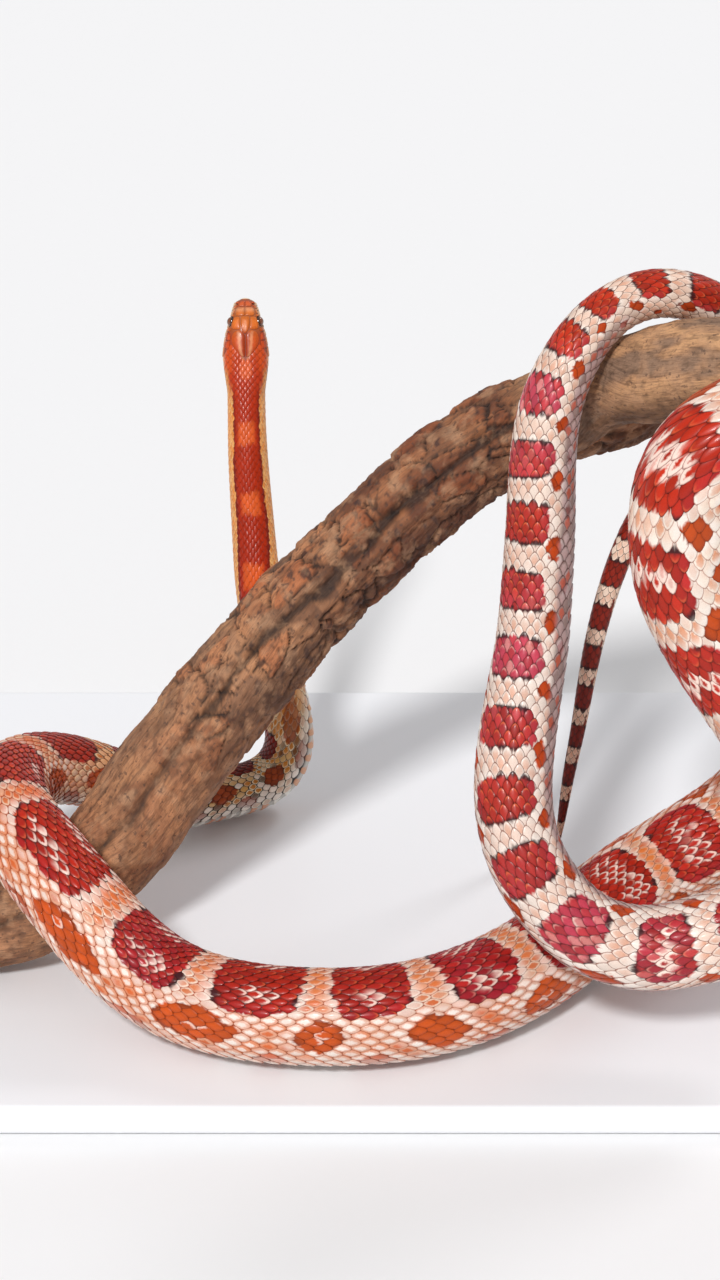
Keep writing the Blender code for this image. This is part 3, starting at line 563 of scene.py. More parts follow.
        tan, pale, skin = self.ground.at(place), self.pale.at(place), self.between.at(place)
        mood = smooth_step(draw[:, 1], 0.45, 0.85)
        mood = mood * (1.0 - 0.35 * front) + 0.35 * smooth_step(place, 1040.0, 1120.0)
        inner = blend(tan, pale, (0.10 + 0.30 * (1.0 - front)) * tip + 0.75 * mood)
        ginger = (draw[:, 3] > 0.62) * front * trunk * (1.0 - smooth_step(turn, 96.0, 120.0))
        inner = blend(inner, self.ginger, 0.75 * ginger)
        rim = blend(pale, tan, 0.6 * front * smooth_step(draw[:, 2], 0.35, 0.85))
        leaf = front * trunk * smooth_step(turn, 42.0, 56.0)
        inner = blend(inner, self.white, 0.75 * leaf * (draw[:, 3] < 0.62))
        rim = blend(rim, tan, 0.65 * leaf)
        skin = blend(skin, tan * 0.75, 0.6 * leaf)
        flush = bell(turn, 0.0, 27.0) * smooth_step(np.abs(off), 0.32, 0.42)
        flush *= smooth_step(place, 90.0, 250.0) * np.interp(place, (560, 1100), (1.0, 0.3))
        inner = blend(inner, self.gap_orange.at(place), flush * (draw[:, 3] > 0.15))
        rim = blend(rim, self.gap_orange.at(place), 0.55 * flush * (draw[:, 3] > 0.3))
        halo = (inside > 1.0) * (1.0 - smooth_step(inside, 1.08, 1.28)) * trunk * (1.0 - 0.6 * flush)
        inner = blend(inner, self.white, 0.6 * halo)
        rim = blend(rim, self.white, 0.7 * halo * (1.0 - 0.7 * leaf))

        spotted = np.zeros_like(turn)
        middle = np.interp(place, *zip(*self.BLOTCH_ANGLE))
        length = np.interp(place, *zip(*self.BLOTCH_LENGTH))
        height = np.interp(place, *zip(*self.BLOTCH_HEIGHT))
        lag = np.interp(place, *zip(*self.BLOTCH_LAG))
        low = np.interp(place, (450, 900), (1.0, 0.7))
        for row, (middle, size, high, shift) in enumerate((
            (middle, length, height, lag), (middle + 36.0 * low, 0.7 * length, 0.6 * height, lag + 0.5),
        )):
            lane = number + shift + 0.09 * self.own(index, angle, 3 + row)
            lane = np.abs(lane - np.round(lane))
            size = size * (1.0 + 0.15 * self.own(index, angle, 5 + row))
            lean = (turn - middle - 3.0 * self.own(index, angle, 7 + row)) / high
            away = ((lane / size) ** 1.5 + np.abs(lean) ** 1.5) ** (1 / 1.5) + 2.0 * ragged
            ring = (away > 1.0) * (1.0 - smooth_step(away, 1.2, 1.6)) * trunk * smooth_step(draw[:, 2], 0.05, 0.3)
            inner = blend(inner, self.white, 0.9 * ring)
            rim = blend(rim, self.white, (0.8 - 0.5 * leaf) * ring)
            spot = (away < 1.0) * smooth_step(place, 60.0, 130.0)
            spotted = np.maximum(spotted, spot)
            colour = self.blotch.at(place) * (0.88 + 0.24 * draw[:, 3])[:, None]
            inner = blend(inner, colour, spot)
            rim = blend(rim, colour * 0.9, spot)
            skin = blend(skin, colour * 0.5, spot)
            edge = spot * bell(away, 1.0, 0.16) * smooth_step(draw[:, 0], 0.25, 0.5)
            inner = blend(inner, colour * 0.25, 0.75 * edge)
            rim = blend(rim, colour * 0.25, 0.75 * edge)
            core = spot * (away < 0.36) * trunk * front * (draw[:, 2] > 0.45)
            rim = blend(rim, self.net, 0.65 * core)

        band = collar * (turn < wide * (1.0 + ragged))
        red = np.maximum(inside < 1.0, band > 0.5)
        colour = self.saddle.at(place)
        pink = np.interp(place, *zip(*self.PINK)) * smooth_step(place, 310.0, 340.0)
        rose = self.crimson.at(place)
        colour = blend(colour, rose, np.clip(pink * (0.5 + 0.5 * smooth_step(draw[:, 1], 0.2, 0.6)), 0, 0.9))
        colour = blend(colour, rose, 0.35 * trunk * bell(turn, wide, 13.0))
        colour = blend(colour, self.neck_edge, 0.8 * collar * smooth_step(turn / wide, 0.72, 0.95))
        patch = collar * smooth_step(np.abs(off), 0.30, 0.38) * (1.0 - smooth_step(turn / wide, 0.45, 0.7))
        colour = blend(colour, self.neck_patch, patch)
        colour = colour * (0.76 + 0.42 * draw[:, 3] * (1.0 - 0.7 * collar) + 0.1 * collar)[:, None]
        climbing = smooth_step(place, 1040.0, 1120.0) * trunk
        # Painted highlights: the rear of each red scale's rim is lightened toward orange or pale pink as a painted
        # glint, and on the climb a few pink scales are painted pale pink all over as a highlight
        gleam = blend(np.broadcast_to(self.glint, colour.shape), self.pink_glint, smooth_step(pink, 0.3, 0.8))
        lit = blend(colour, gleam, (0.4 + 0.2 * climbing) * smooth_step(along, 0.2, 0.9) * trunk
                    * (draw[:, 2] > 0.35))
        colour = blend(colour, self.pink_glint, 0.4 * climbing * smooth_step(pink, 0.3, 0.9) * (draw[:, 2] > 0.8))
        inner = blend(inner, colour, red)
        dim = (0.66 + 0.26 * collar)[:, None]
        rim = blend(rim, blend(colour * dim, lit, smooth_step(along, -0.1, 0.5)), red)
        skin = blend(skin, colour * (0.22 + 0.38 * collar)[:, None], red)
        rows = bell(inside, 0.985, np.interp(place, (900, 1130, 1400, 1450), (0.05, 0.075, 0.075, 0.2)))
        rows *= inside < 1.05
        ends = smooth_step(np.abs(off) / half, 0.72, 0.92)
        corner = ends * smooth_step(turn, 14.0, 34.0)
        chance = np.interp(place, (90, 140, 250, 1050, 1180, 1450), (0.0, 0.5, 0.4, 0.45, 0.85, 0.9))
        dark = rows * (0.25 + 0.75 * np.maximum(corner, ends * smooth_step(place, 1080.0, 1200.0)))
        dark = smooth_step(dark, 0.15, 0.6) * (draw[:, 0] < chance)
        spots = bell(inside, 0.93, 0.12) * corner * (draw[:, 1] > 0.55) * red * (1.0 - collar)
        dark = np.maximum(dark, smooth_step(spots, 0.25, 0.6))
        inner = blend(inner, self.border, 0.92 * dark)
        rim = blend(rim, self.border, 0.85 * dark)
        skin = blend(skin, self.border, smooth_step(bell(inside, 1.0, 0.08) * ends, 0.3, 0.7) * (1.0 - collar))

        blob = blend(bell(turn, 28.0, 13.0)[:, None], (1.0 - smooth_step(turn, 30.0, 40.0))[:, None],
                     smooth_step(place, 495.0, 525.0))[:, 0]
        low = np.interp(place, (490, 530, 700), (0.17, 0.13, 0.115))
        low = low * (1.0 + 0.25 * front)
        lattice = bell(off + 0.05 * np.sin(turn * 0.35), 0.03 * self.own(index, angle, 10), low) * blob * red
        lattice *= np.interp(place, (225, 265, 1000, 1100, 1140), (0.0, 1.0, 1.0, 0.6, 0.1))
        lattice *= 0.85 + 0.35 * self.own(index, angle, 11) + 0.5 * (draw[:, 2] - 0.5)
        netted = smooth_step(lattice, 0.30, 0.5)
        netted *= 1.0 - front * trunk * (1.0 - smooth_step(along, -0.5, 0.3))
        netted *= 1.0 - 0.8 * front * (draw[:, 3] < 0.1)
        rim = blend(rim, self.net, (0.97 - 0.12 * front) * netted)
        skin = blend(skin, colour * 0.4, netted)
        inner = blend(inner, self.net, 0.6 * netted * (draw[:, 1] > np.interp(place, (560, 700), (0.8, 0.7))))

        # A grey-lilac band with dark streaks and a few red marks, low on the climb's flanks: partly the flanks' own
        # colour, partly painted shade
        band = climbing * smooth_step(turn, 66.0, 76.0) * (1.0 - smooth_step(place, 1290.0, 1330.0))
        inner = blend(inner, blend(self.lilac_shade[None], self.streak, 0.9 * (draw[:, 1] > 0.72)), 0.8 * band)
        inner = blend(inner, self.blotch.at(place), 0.8 * band * (draw[:, 3] < 0.14))
        rim = blend(rim, blend(self.lilac_shade[None], self.streak, 0.35 + 0.5 * (draw[:, 2] > 0.5)), 0.8 * band)
        skin = blend(skin, self.streak * 0.7, band)

        chequer = (1.0 - smooth_step(place, 190.0, 230.0)) * smooth_step(place, 100.0, 125.0)
        chequer *= smooth_step(turn, 58.0, 72.0) * (1.0 - spotted)
        light = blend(self.white[None], self.ochre, 0.9 * (draw[:, 3] < 0.42) * (1.0 - smooth_step(turn, 90.0, 116.0)))
        light = blend(light, self.border * 1.6, 1.0 * (draw[:, 3] > 0.76))
        inner = blend(inner, light, 0.8 * chequer * (draw[:, 1] > 0.35))
        rim = blend(rim, light * 0.8, 0.7 * chequer * (draw[:, 1] > 0.35))

        lower = smooth_step(turn, 100.0, 126.0)
        belly = self.belly.at(place)
        inner = blend(inner, belly, 0.5 * lower * (1.0 - collar))
        rim = blend(rim, belly, 0.6 * lower * (1.0 - collar))
        shade = (0.93 + 0.14 * draw[:, 2])[:, None]
        widen = netted * np.interp(place, (560, 900), (0.35, 0.65)) + 0.35 * leaf * (1.0 - red)
        return inner * shade, rim * shade, skin, widen

    def underside(self, place: np.ndarray, side: np.ndarray, ring: np.ndarray) -> tuple[np.ndarray, ...]:
        """Colours of the belly scutes, whose pale ground carries square checks."""
        base = self.belly.at(place)
        block = np.floor(ring / 2.0)
        which = np.sin(block * 12.9898 + (side > 0) * 4.1 + 0.7) * 43758.5453
        chance = which - np.floor(which)
        amount = np.interp(place, (-10, 40, 110, 200, 1549), (0.0, 0.12, 0.6, 0.55, 0.62))
        fade = np.interp(place, (180, 260), (0.0, 0.5)) * smooth_step(np.abs(side), 0.86, 0.98)
        lateral = smooth_step(np.abs(side), 0.16, 0.30) * (1.0 - fade)
        check = (chance < amount) * lateral
        inner = blend(base, self.check.at(place), 0.95 * check)
        return inner, blend(inner, base, 0.25), blend(base, self.between.at(place), 0.35)

    def head(self, back: np.ndarray, out: np.ndarray, up: np.ndarray, draw: np.ndarray) -> tuple[np.ndarray, ...]:
        """Colours of the head: an orange crown with pale stripes, red temples and cream lips.

        Args:
            back: distances back from the snout, in mm.
            out: distances to the snake's right.
            up: heights over the mouth's line.
            draw: four numbers from 0 to 1 for each point.

        Returns:
            The colour inside a shield, at its rim, and between the shields.
        """
        side = np.abs(out)
        crown = Ramp((0, (206, 124, 92)), (1.6, (204, 92, 52)), (3.0, (204, 96, 50)), (4.1, (226, 150, 104)),
                     (5.4, (214, 112, 44)), (9.0, (216, 110, 38)), (14.0, (206, 86, 30)), (20.0, (194, 66, 22)),
                     (27.0, (182, 52, 16)), (34.0, (182, 52, 16)))
        inner = crown.at(back)
        temples = smooth_step(side, 3.6, 5.6) * smooth_step(back, 10.5, 13.0) * (1.0 - smooth_step(back, 23.0, 27.0))
        inner = blend(inner, linear((208, 78, 26)), temples)
        between = (side < 1.6) * smooth_step(back, 11.4, 12.6) * (1.0 - smooth_step(back, 19.5, 21.0))
        inner = blend(inner, linear((170, 58, 20)), 0.8 * between)
        stripe = np.interp(back, (11.0, 12.5, 18.0, 21.0, 22.0), (2.3, 2.1, 1.7, 0.9, 0.6))
        wide = np.interp(back, (11.0, 13.0, 18.0, 21.0), (0.25, 0.62, 0.55, 0.6))
        pale = bell(side, stripe, wide) * smooth_step(back, 10.9, 12.0) * (1.0 - smooth_step(back, 20.8, 22.2))
        pale = np.maximum(pale, bell(side, 0.0, 0.55) * smooth_step(back, 7.6, 8.6) * (1 - smooth_step(back, 10.8, 11.8)))
        inner = blend(inner, linear((228, 148, 104)), 0.85 * smooth_step(pale, 0.25, 0.8) * (up > 1.5))
        nape = np.hypot((back - 24.4) / 3.6, side / 2.3)
        inner = blend(inner, linear((220, 98, 54)), (1.0 - smooth_step(nape, 0.7, 1.1)) * (up > 2.0))
        stripes = smooth_step(back, 22.5, 26.5) * smooth_step(side, 4.3, 5.0)
        inner = blend(inner, linear((222, 146, 76)), stripes * (1.0 - smooth_step(up, 3.2, 4.4)))
        cheek = (1.0 - smooth_step(up, 2.2, 3.2)) * smooth_step(back, 9.6, 11.0)
        inner = blend(inner, linear((232, 160, 120)), 0.75 * cheek * (1.0 - smooth_step(back, 20.0, 24.0)))
        bar = bell(up, 2.9 - 0.09 * (back - 10.0), 0.75) * smooth_step(back, 9.9, 11.0)
        bar *= 1.0 - smooth_step(back, 19.0, 21.0)
        inner = blend(inner, linear((164, 58, 22)), 0.85 * bar * smooth_step(side, 3.0, 4.0))
        lips = 1.0 - smooth_step(up, 1.25, 1.75)
        inner = blend(inner, linear((240, 210, 172)), lips)
        chin = 1.0 - smooth_step(up, -1.6, -0.6)
        inner = blend(inner, linear((244, 232, 214)), chin)
        inner = inner * (0.95 + 0.1 * draw[:, 3])[:, None]
        rim = inner * blend(np.full_like(inner, 0.82), np.full_like(inner, 0.88), lips)
        lip_bars = lips * smooth_step(up, -1.4, -0.6)
        rim = blend(rim, linear((150, 84, 50)), 0.5 * lip_bars)
        return inner, rim, inner * 0.55


@dataclass(frozen=True)
class Relief:
    """One closed dome: rings from its middle to its rim, then a wall down to its root."""

    sides: int
    rings: tuple[float, ...]

    def build(self) -> tuple[np.ndarray, list[tuple[int, ...]]]:
        """Spins a profile into a closed lathe shape.

        Returns:
            Rows of share of the way out, turn in radians, and level (0 top, 1 root), and the faces.
        """
        mesh = bmesh.new()
        profile = [(0.0, 0.0)] + [(ring, 0.0) for ring in self.rings] + [(self.rings[-1], -1.0)]
        chain = [mesh.verts.new((x, 0.0, z)) for x, z in profile]
        edges = [mesh.edges.new(pair) for pair in zip(chain, chain[1:])]
        bmesh.ops.spin(
            mesh, geom=chain + edges, cent=(0, 0, 0), axis=(0, 0, 1), angle=2 * math.pi, steps=self.sides,
            use_merge=True)
        bmesh.ops.remove_doubles(mesh, verts=mesh.verts, dist=1e-5)
        bmesh.ops.holes_fill(mesh, edges=[edge for edge in mesh.edges if edge.is_boundary])
        bmesh.ops.recalc_face_normals(mesh, faces=mesh.faces)
        mesh.verts.index_update()
        rows = np.array([
            (math.hypot(vert.co.x, vert.co.y), math.atan2(vert.co.y, vert.co.x), -vert.co.z)
            for vert in mesh.verts])
        faces = [tuple(vert.index for vert in face.verts) for face in mesh.faces]
        mesh.free()
        return rows, faces


class Coat:
    """Gathers many small closed shapes and ends them as one mesh piece."""

    def __init__(self) -> None:
        """Starts empty."""
        self.points: list[np.ndarray] = []
        self.corners: list[np.ndarray] = []
        self.sizes: list[np.ndarray] = []
        self.inner: list[np.ndarray] = []
        self.rim: list[np.ndarray] = []
        self.wide: list[np.ndarray] = []
        self.plate: list[np.ndarray] = []
        self.bake: list[np.ndarray] = []
        self.count = 0

    def add(
        self, points: np.ndarray, faces: list, inner: np.ndarray, rim: np.ndarray, plate: np.ndarray,
        bake: np.ndarray, wide: np.ndarray | None = None,
    ) -> None:
        """Adds shapes that share one set of faces.

        Args:
            points: shapes by vertices by 3, in metres.
            faces: the faces of one shape.
            inner: colours inside, by shape and vertex.
            rim: colours at the rim, by shape and vertex.
            plate: each vertex's place on its own scale, from -1 to 1.
            bake: each vertex's place on the skin's unwrap.
            wide: how far the rim's colour reaches in, by shape and vertex.
        """
        shapes, size = points.shape[:2]
        order = np.concatenate([np.array(face) for face in faces])
        starts = self.count + size * np.arange(shapes)
        self.points.append(points.reshape(-1, 3))
        self.corners.append((starts[:, None] + order[None]).reshape(-1))
        self.sizes.append(np.tile([len(face) for face in faces], shapes))
        self.inner.append(inner.reshape(-1, 3))
        self.rim.append(rim.reshape(-1, 3))
        self.wide.append(np.zeros(shapes * size) if wide is None else wide.reshape(-1))
        self.plate.append(plate.reshape(-1, 2))
        self.bake.append(bake.reshape(-1, 2))
        self.count += shapes * size

    def finish(self, name: str) -> bpy.types.Object:
        """Makes the mesh object with its colours and maps."""
        corners = np.concatenate(self.corners).astype(np.int32)
        sizes = np.concatenate(self.sizes).astype(np.int32)
        data = bpy.data.meshes.new(name)
        data.vertices.add(self.count)
        data.vertices.foreach_set("co", np.concatenate(self.points).astype(np.float32).reshape(-1))
        data.loops.add(len(corners))
        data.loops.foreach_set("vertex_index", corners)
        data.polygons.add(len(sizes))
        data.polygons.foreach_set("loop_start", np.concatenate([[0], np.cumsum(sizes)[:-1]]).astype(np.int32))
        data.update(calc_edges=True)
        data.validate()
        colour_map(data, "Pigment", np.concatenate(self.inner))
        colour_map(data, "Rim", np.concatenate(self.rim), np.concatenate(self.wide))
        for label, table in (("Plate", self.plate), ("OFBake", self.bake)):
            layer = data.uv_layers.new(name=label)
            layer.data.foreach_set("uv", np.concatenate(table)[corners].astype(np.float32).reshape(-1))
        data.shade_smooth()
        made = bpy.data.objects.new(name, data)
        bpy.context.scene.collection.objects.link(made)
        return made


def colour_map(data: bpy.types.Mesh, name: str, colours: np.ndarray, wide: np.ndarray | float = 0.0) -> None:
    """Stores one linear colour for each vertex, with 1 - wide as its alpha."""
    layer = data.color_attributes.new(name=name, type="FLOAT_COLOR", domain="POINT")
    filled = np.empty((len(data.vertices), 4), np.float32)
    filled[:, :3] = colours
    filled[:, 3] = 1.0 - wide
    layer.data.foreach_set("color", filled.reshape(-1))


def object_of(name: str, mesh: bmesh.types.BMesh, smooth: bool = True) -> bpy.types.Object:
    """Ends a bmesh as an object at the origin."""
    data = bpy.data.meshes.new(name)
    mesh.to_mesh(data)
    mesh.free()
    if smooth:
        data.shade_smooth()
    made = bpy.data.objects.new(name, data)
    bpy.context.scene.collection.objects.link(made)
    return made


def tube(name: str, rings: int, columns: int, place: Callable[[np.ndarray, np.ndarray], tuple]) -> bpy.types.Object:
    """A tube made from a grid wrapped round a line, closed along its seam and at its ends.

    Args:
        name: the object's name.
        rings: how many rings it has.
        columns: how many columns of faces run round it.
        place: gives points in metres, and a dict of named colours, for arrays of ring and column numbers.

    Returns:
        The object, with an unwrap in the map OFBake where place gives one.
    """
    mesh = bmesh.new()
    bmesh.ops.create_grid(mesh, x_segments=rings - 1, y_segments=columns, size=0.5)
    mesh.verts.index_update()
    flat = np.array([vert.co[:2] for vert in mesh.verts]) + 0.5
    ring = np.rint(flat[:, 0] * (rings - 1))
    column = np.rint(flat[:, 1] * columns)
    points, colours, maps = place(ring, column)
    for vert, point in zip(mesh.verts, points):
        vert.co = point
    layers = {label: mesh.loops.layers.uv.new(label) for label in maps}
    for label, layer in layers.items():
        table = maps[label]
        for face in mesh.faces:
            spots = [table[loop.vert.index] for loop in face.loops]
            jump = max(spot[0] for spot in spots) - min(spot[0] for spot in spots) > 0.5
            row = spots[0][1]
            for loop, spot in zip(face.loops, spots):
                u, v = spot
                if jump and u < 0.5:
                    u, v = 1.0, max(other[1] for other in spots if other[0] > 0.5) if abs(v - row) > 0.1 else v
                loop[layer].uv = (u, v)
    shades = {label: mesh.verts.layers.float_color.new(label) for label in colours}
    for label, layer in shades.items():
        for vert, colour in zip(mesh.verts, colours[label]):
            vert[layer] = (*colour, 1.0)
    bmesh.ops.remove_doubles(mesh, verts=mesh.verts, dist=2e-6)
    ends = [edge for edge in mesh.edges if edge.is_boundary]
    if ends:
        bmesh.ops.holes_fill(mesh, edges=ends)
    bmesh.ops.recalc_face_normals(mesh, faces=mesh.faces)
    return object_of(name, mesh)


class ShaderKit:
    """Builds a material's nodes, wiring them as it goes."""

    def __init__(self, tree: bpy.types.NodeTree) -> None:
        """Starts on an empty tree."""
        self.tree = tree
        tree.nodes.clear()
        self.across = 0

    def node(self, kind: str, **settings: object) -> bpy.types.Node:
        """Adds a node; settings name its attributes, or its inputs where they start with in_."""
        made = self.tree.nodes.new(kind)
        made.location = (200 * self.across, 0)
        self.across += 1
        for key, value in settings.items():
            if key.startswith("in_"):
                socket = made.inputs[key[3:].replace("_", " ")]
                if isinstance(value, bpy.types.NodeSocket):
                    self.tree.links.new(value, socket)
                else:
                    socket.default_value = value
            else:
                setattr(made, key, value)
        return made

    def link(self, start: bpy.types.NodeSocket, end: bpy.types.NodeSocket) -> None:
        """Wires one socket to another."""
        self.tree.links.new(start, end)

    def maths(self, operation: str, first: object, second: object = 0.0) -> bpy.types.NodeSocket:
        """One sum on values or sockets."""
        made = self.node("ShaderNodeMath", operation=operation)
        for socket, value in zip(made.inputs, (first, second)):
            if isinstance(value, bpy.types.NodeSocket):
                self.link(value, socket)
            else:
                socket.default_value = value
        return made.outputs[0]

    def ramp(self, value: bpy.types.NodeSocket, low: float, high: float, start: float, end: float
             ) -> bpy.types.NodeSocket:
        """Maps low to high on to start to end, softly and clamped."""
        made = self.node("ShaderNodeMapRange", interpolation_type="SMOOTHSTEP")
        self.link(value, made.inputs["Value"])
        for name, number in zip(("From Min", "From Max", "To Min", "To Max"), (low, high, start, end)):
            made.inputs[name].default_value = number
        return made.outputs["Result"]

    def mix(self, share: object, first: object, second: object, kind: str = "MIX") -> bpy.types.NodeSocket:
        """Mixes two colours."""
        made = self.node("ShaderNodeMix", data_type="RGBA", blend_type=kind)
        for socket, value in zip((made.inputs[0], made.inputs[6], made.inputs[7]), (share, first, second)):
            if isinstance(value, bpy.types.NodeSocket):
                self.link(value, socket)
            else:
                socket.default_value = value
        return made.outputs[2]

    def noise(self, vector: bpy.types.NodeSocket, scale: float, detail: float = 3.0) -> bpy.types.NodeSocket:
        """A noise value over the vector."""
        made = self.node("ShaderNodeTexNoise", in_Scale=scale, in_Detail=detail)
        self.link(vector, made.inputs["Vector"])
        return made.outputs["Fac"]

    def bump(self, height: bpy.types.NodeSocket, depth: float, strength: float) -> bpy.types.NodeSocket:
        """A bump normal from a height, depth in metres."""
        made = self.node("ShaderNodeBump", in_Distance=depth, in_Strength=strength)
        self.link(height, made.inputs["Height"])
        return made.outputs["Normal"]


def grain_group() -> bpy.types.NodeTree:
    """The shared fine grain: shades a colour by noise and gives a roughness and a height to go with it."""
    tree = bpy.data.node_groups.new("Grain", "ShaderNodeTree")
    for name, kind in (("Color", "NodeSocketColor"), ("Vector", "NodeSocketVector"), ("Scale", "NodeSocketFloat"),
                       ("Amount", "NodeSocketFloat"), ("Roughness", "NodeSocketFloat")):
        tree.interface.new_socket(name=name, in_out="INPUT", socket_type=kind)
    for name, kind in (("Color", "NodeSocketColor"), ("Roughness", "NodeSocketFloat"),
                       ("Height", "NodeSocketFloat")):
        tree.interface.new_socket(name=name, in_out="OUTPUT", socket_type=kind)
    kit = ShaderKit(tree)
    source = kit.node("NodeGroupInput")
    sink = kit.node("NodeGroupOutput")
    speck = kit.node("ShaderNodeTexNoise", in_Detail=4.0, in_Roughness=0.6)
    kit.link(source.outputs["Vector"], speck.inputs["Vector"])
    kit.link(source.outputs["Scale"], speck.inputs["Scale"])
    signed = kit.maths("SUBTRACT", speck.outputs["Fac"], 0.5)
    change = kit.maths("MULTIPLY", signed, source.outputs["Amount"])
    light = kit.maths("ADD", change, 1.0)
    shade = kit.node("ShaderNodeCombineXYZ")
    for socket in shade.inputs:
        kit.link(light, socket)
    kit.link(kit.mix(1.0, source.outputs["Color"], shade.outputs[0], "MULTIPLY"), sink.inputs["Color"])
    rough = kit.maths("ADD", source.outputs["Roughness"], kit.maths("MULTIPLY", signed, 0.3))
    kit.link(rough, sink.inputs["Roughness"])
    kit.link(speck.outputs["Fac"], sink.inputs["Height"])
    return tree


@dataclass(frozen=True)
class Finish:
    """What every material shares: its name, gloss and grain."""

    name: str
    roughness: float = 0.5
    grain_scale: float = 1200.0
    grain_amount: float = 0.2
    coat: float = 0.0
    coat_roughness: float = 0.1
    metallic: float = 0.0
    specular: float = 0.5
    bump_depth: float = 0.0001
    bump_strength: float = 0.3

    def start(self) -> tuple[bpy.types.Material, ShaderKit]:
        """A new material and its node kit."""
        made = bpy.data.materials.new(self.name)
        made.use_nodes = True
        return made, ShaderKit(made.node_tree)

    def end(self, kit: ShaderKit, colour: object, vector: bpy.types.NodeSocket, height: object = None,
            group: bpy.types.NodeTree | None = None) -> None:
        """Adds the grain, the bump and the shader."""
        grain = kit.node("ShaderNodeGroup", node_tree=group or bpy.data.node_groups["Grain"])
        if isinstance(colour, bpy.types.NodeSocket):
            kit.link(colour, grain.inputs["Color"])
        else:
            grain.inputs["Color"].default_value = (*colour, 1.0)
        kit.link(vector, grain.inputs["Vector"])
        grain.inputs["Scale"].default_value = self.grain_scale
        grain.inputs["Amount"].default_value = self.grain_amount
        grain.inputs["Roughness"].default_value = self.roughness
        total = grain.outputs["Height"]
        if height is not None:
            total = kit.maths("ADD", kit.maths("MULTIPLY", total, 0.35), height)
        normal = kit.bump(total, self.bump_depth, self.bump_strength)
        shader = kit.node("ShaderNodeBsdfPrincipled")
        kit.link(grain.outputs["Color"], shader.inputs["Base Color"])
        kit.link(grain.outputs["Roughness"], shader.inputs["Roughness"])
        kit.link(normal, shader.inputs["Normal"])
        shader.inputs["Metallic"].default_value = self.metallic
        shader.inputs["Specular IOR Level"].default_value = self.specular
        shader.inputs["Coat Weight"].default_value = self.coat
        shader.inputs["Coat Roughness"].default_value = self.coat_roughness
        sink = kit.node("ShaderNodeOutputMaterial")
        kit.link(shader.outputs["BSDF"], sink.inputs["Surface"])


@dataclass(frozen=True)
class ScaleFinish(Finish):
    """Glossy scales: their own colour inside, the rim's colour round it, and a faint keel."""

    rim_start: float = 0.36
    rim_end: float = 0.78

    def build(self) -> bpy.types.Material:
        """Makes the material."""
        made, kit = self.start()
        spot = kit.node("ShaderNodeTexCoord").outputs["Object"]
        inner = kit.node("ShaderNodeAttribute", attribute_name="Pigment").outputs["Color"]
        rim = kit.node("ShaderNodeAttribute", attribute_name="Rim")
        plate = kit.node("ShaderNodeUVMap", uv_map="Plate").outputs["UV"]
        parts = kit.node("ShaderNodeSeparateXYZ")
        kit.link(plate, parts.inputs[0])
        along = kit.maths("ABSOLUTE", parts.outputs["X"])
        across = kit.maths("ABSOLUTE", parts.outputs["Y"])
        out = kit.maths("ADD", kit.maths("POWER", along, 1.5), kit.maths("POWER", across, 1.2))
        wander = kit.maths("MULTIPLY", kit.maths("SUBTRACT", kit.noise(spot, 1100.0), 0.5), 0.7)
        reach = kit.maths("MULTIPLY", kit.maths("SUBTRACT", 1.0, rim.outputs["Alpha"]), 0.4)
        total = kit.maths("ADD", kit.maths("ADD", out, wander), reach)
        edge = kit.ramp(total, self.rim_start, self.rim_end, 0.0, 1.0)
        colour = kit.mix(edge, inner, rim.outputs["Color"])
        keel = kit.ramp(across, 0.0, 0.14, 1.0, 0.0)
        dome = kit.maths("MULTIPLY", kit.maths("MULTIPLY", out, out), -0.4)
        height = kit.maths("ADD", dome, kit.maths("MULTIPLY", keel, 0.12))
        self.end(kit, colour, spot, height)
        return made


@dataclass(frozen=True)
class SkinFinish(Finish):
    """The skin between the scales."""

    def build(self) -> bpy.types.Material:
        """Makes the material."""
        made, kit = self.start()
        spot = kit.node("ShaderNodeTexCoord").outputs["Object"]
        colour = kit.node("ShaderNodeAttribute", attribute_name="Pigment").outputs["Color"]
        self.end(kit, colour, spot)
        return made


@dataclass(frozen=True)
class BarkFinish(Finish):
    """Weathered bark: its vertex colours with fibres along the grain and dark pores."""

    def build(self) -> bpy.types.Material:
        """Makes the material."""
        made, kit = self.start()
        spot = kit.node("ShaderNodeTexCoord").outputs["Object"]
        fibre_map = kit.node("ShaderNodeUVMap", uv_map="Fibre").outputs["UV"]
        colour = kit.node("ShaderNodeAttribute", attribute_name="Pigment").outputs["Color"]
        layers = []
        for scale in ((9.0, 85.0, 1.0), (34.0, 210.0, 1.0)):
            stretch = kit.node("ShaderNodeMapping")
            kit.link(fibre_map, stretch.inputs["Vector"])
            stretch.inputs["Scale"].default_value = scale
            layers.append(kit.noise(stretch.outputs["Vector"], 1.0, 4.0))
        fibre, hair = layers
        blotches = kit.noise(spot, 150.0, 5.0)
        pores = kit.noise(spot, 620.0, 3.0)
        dark = kit.mix(kit.ramp(fibre, 0.34, 0.48, 0.42, 0.0), colour, (0.07, 0.036, 0.022, 1.0))
        light = kit.mix(kit.ramp(blotches, 0.48, 0.68, 0.0, 0.55), dark, (0.52, 0.29, 0.16, 1.0))
        streaked = kit.mix(kit.ramp(hair, 0.36, 0.50, 0.34, 0.0), light, (0.11, 0.06, 0.036, 1.0))
        spotted = kit.mix(kit.ramp(pores, 0.61, 0.68, 0.0, 0.6), streaked, (0.07, 0.038, 0.028, 1.0))
        height = kit.maths("ADD", kit.maths("ADD", fibre, kit.maths("MULTIPLY", hair, 0.5)), blotches)
        self.end(kit, spotted, spot, height)
        return made


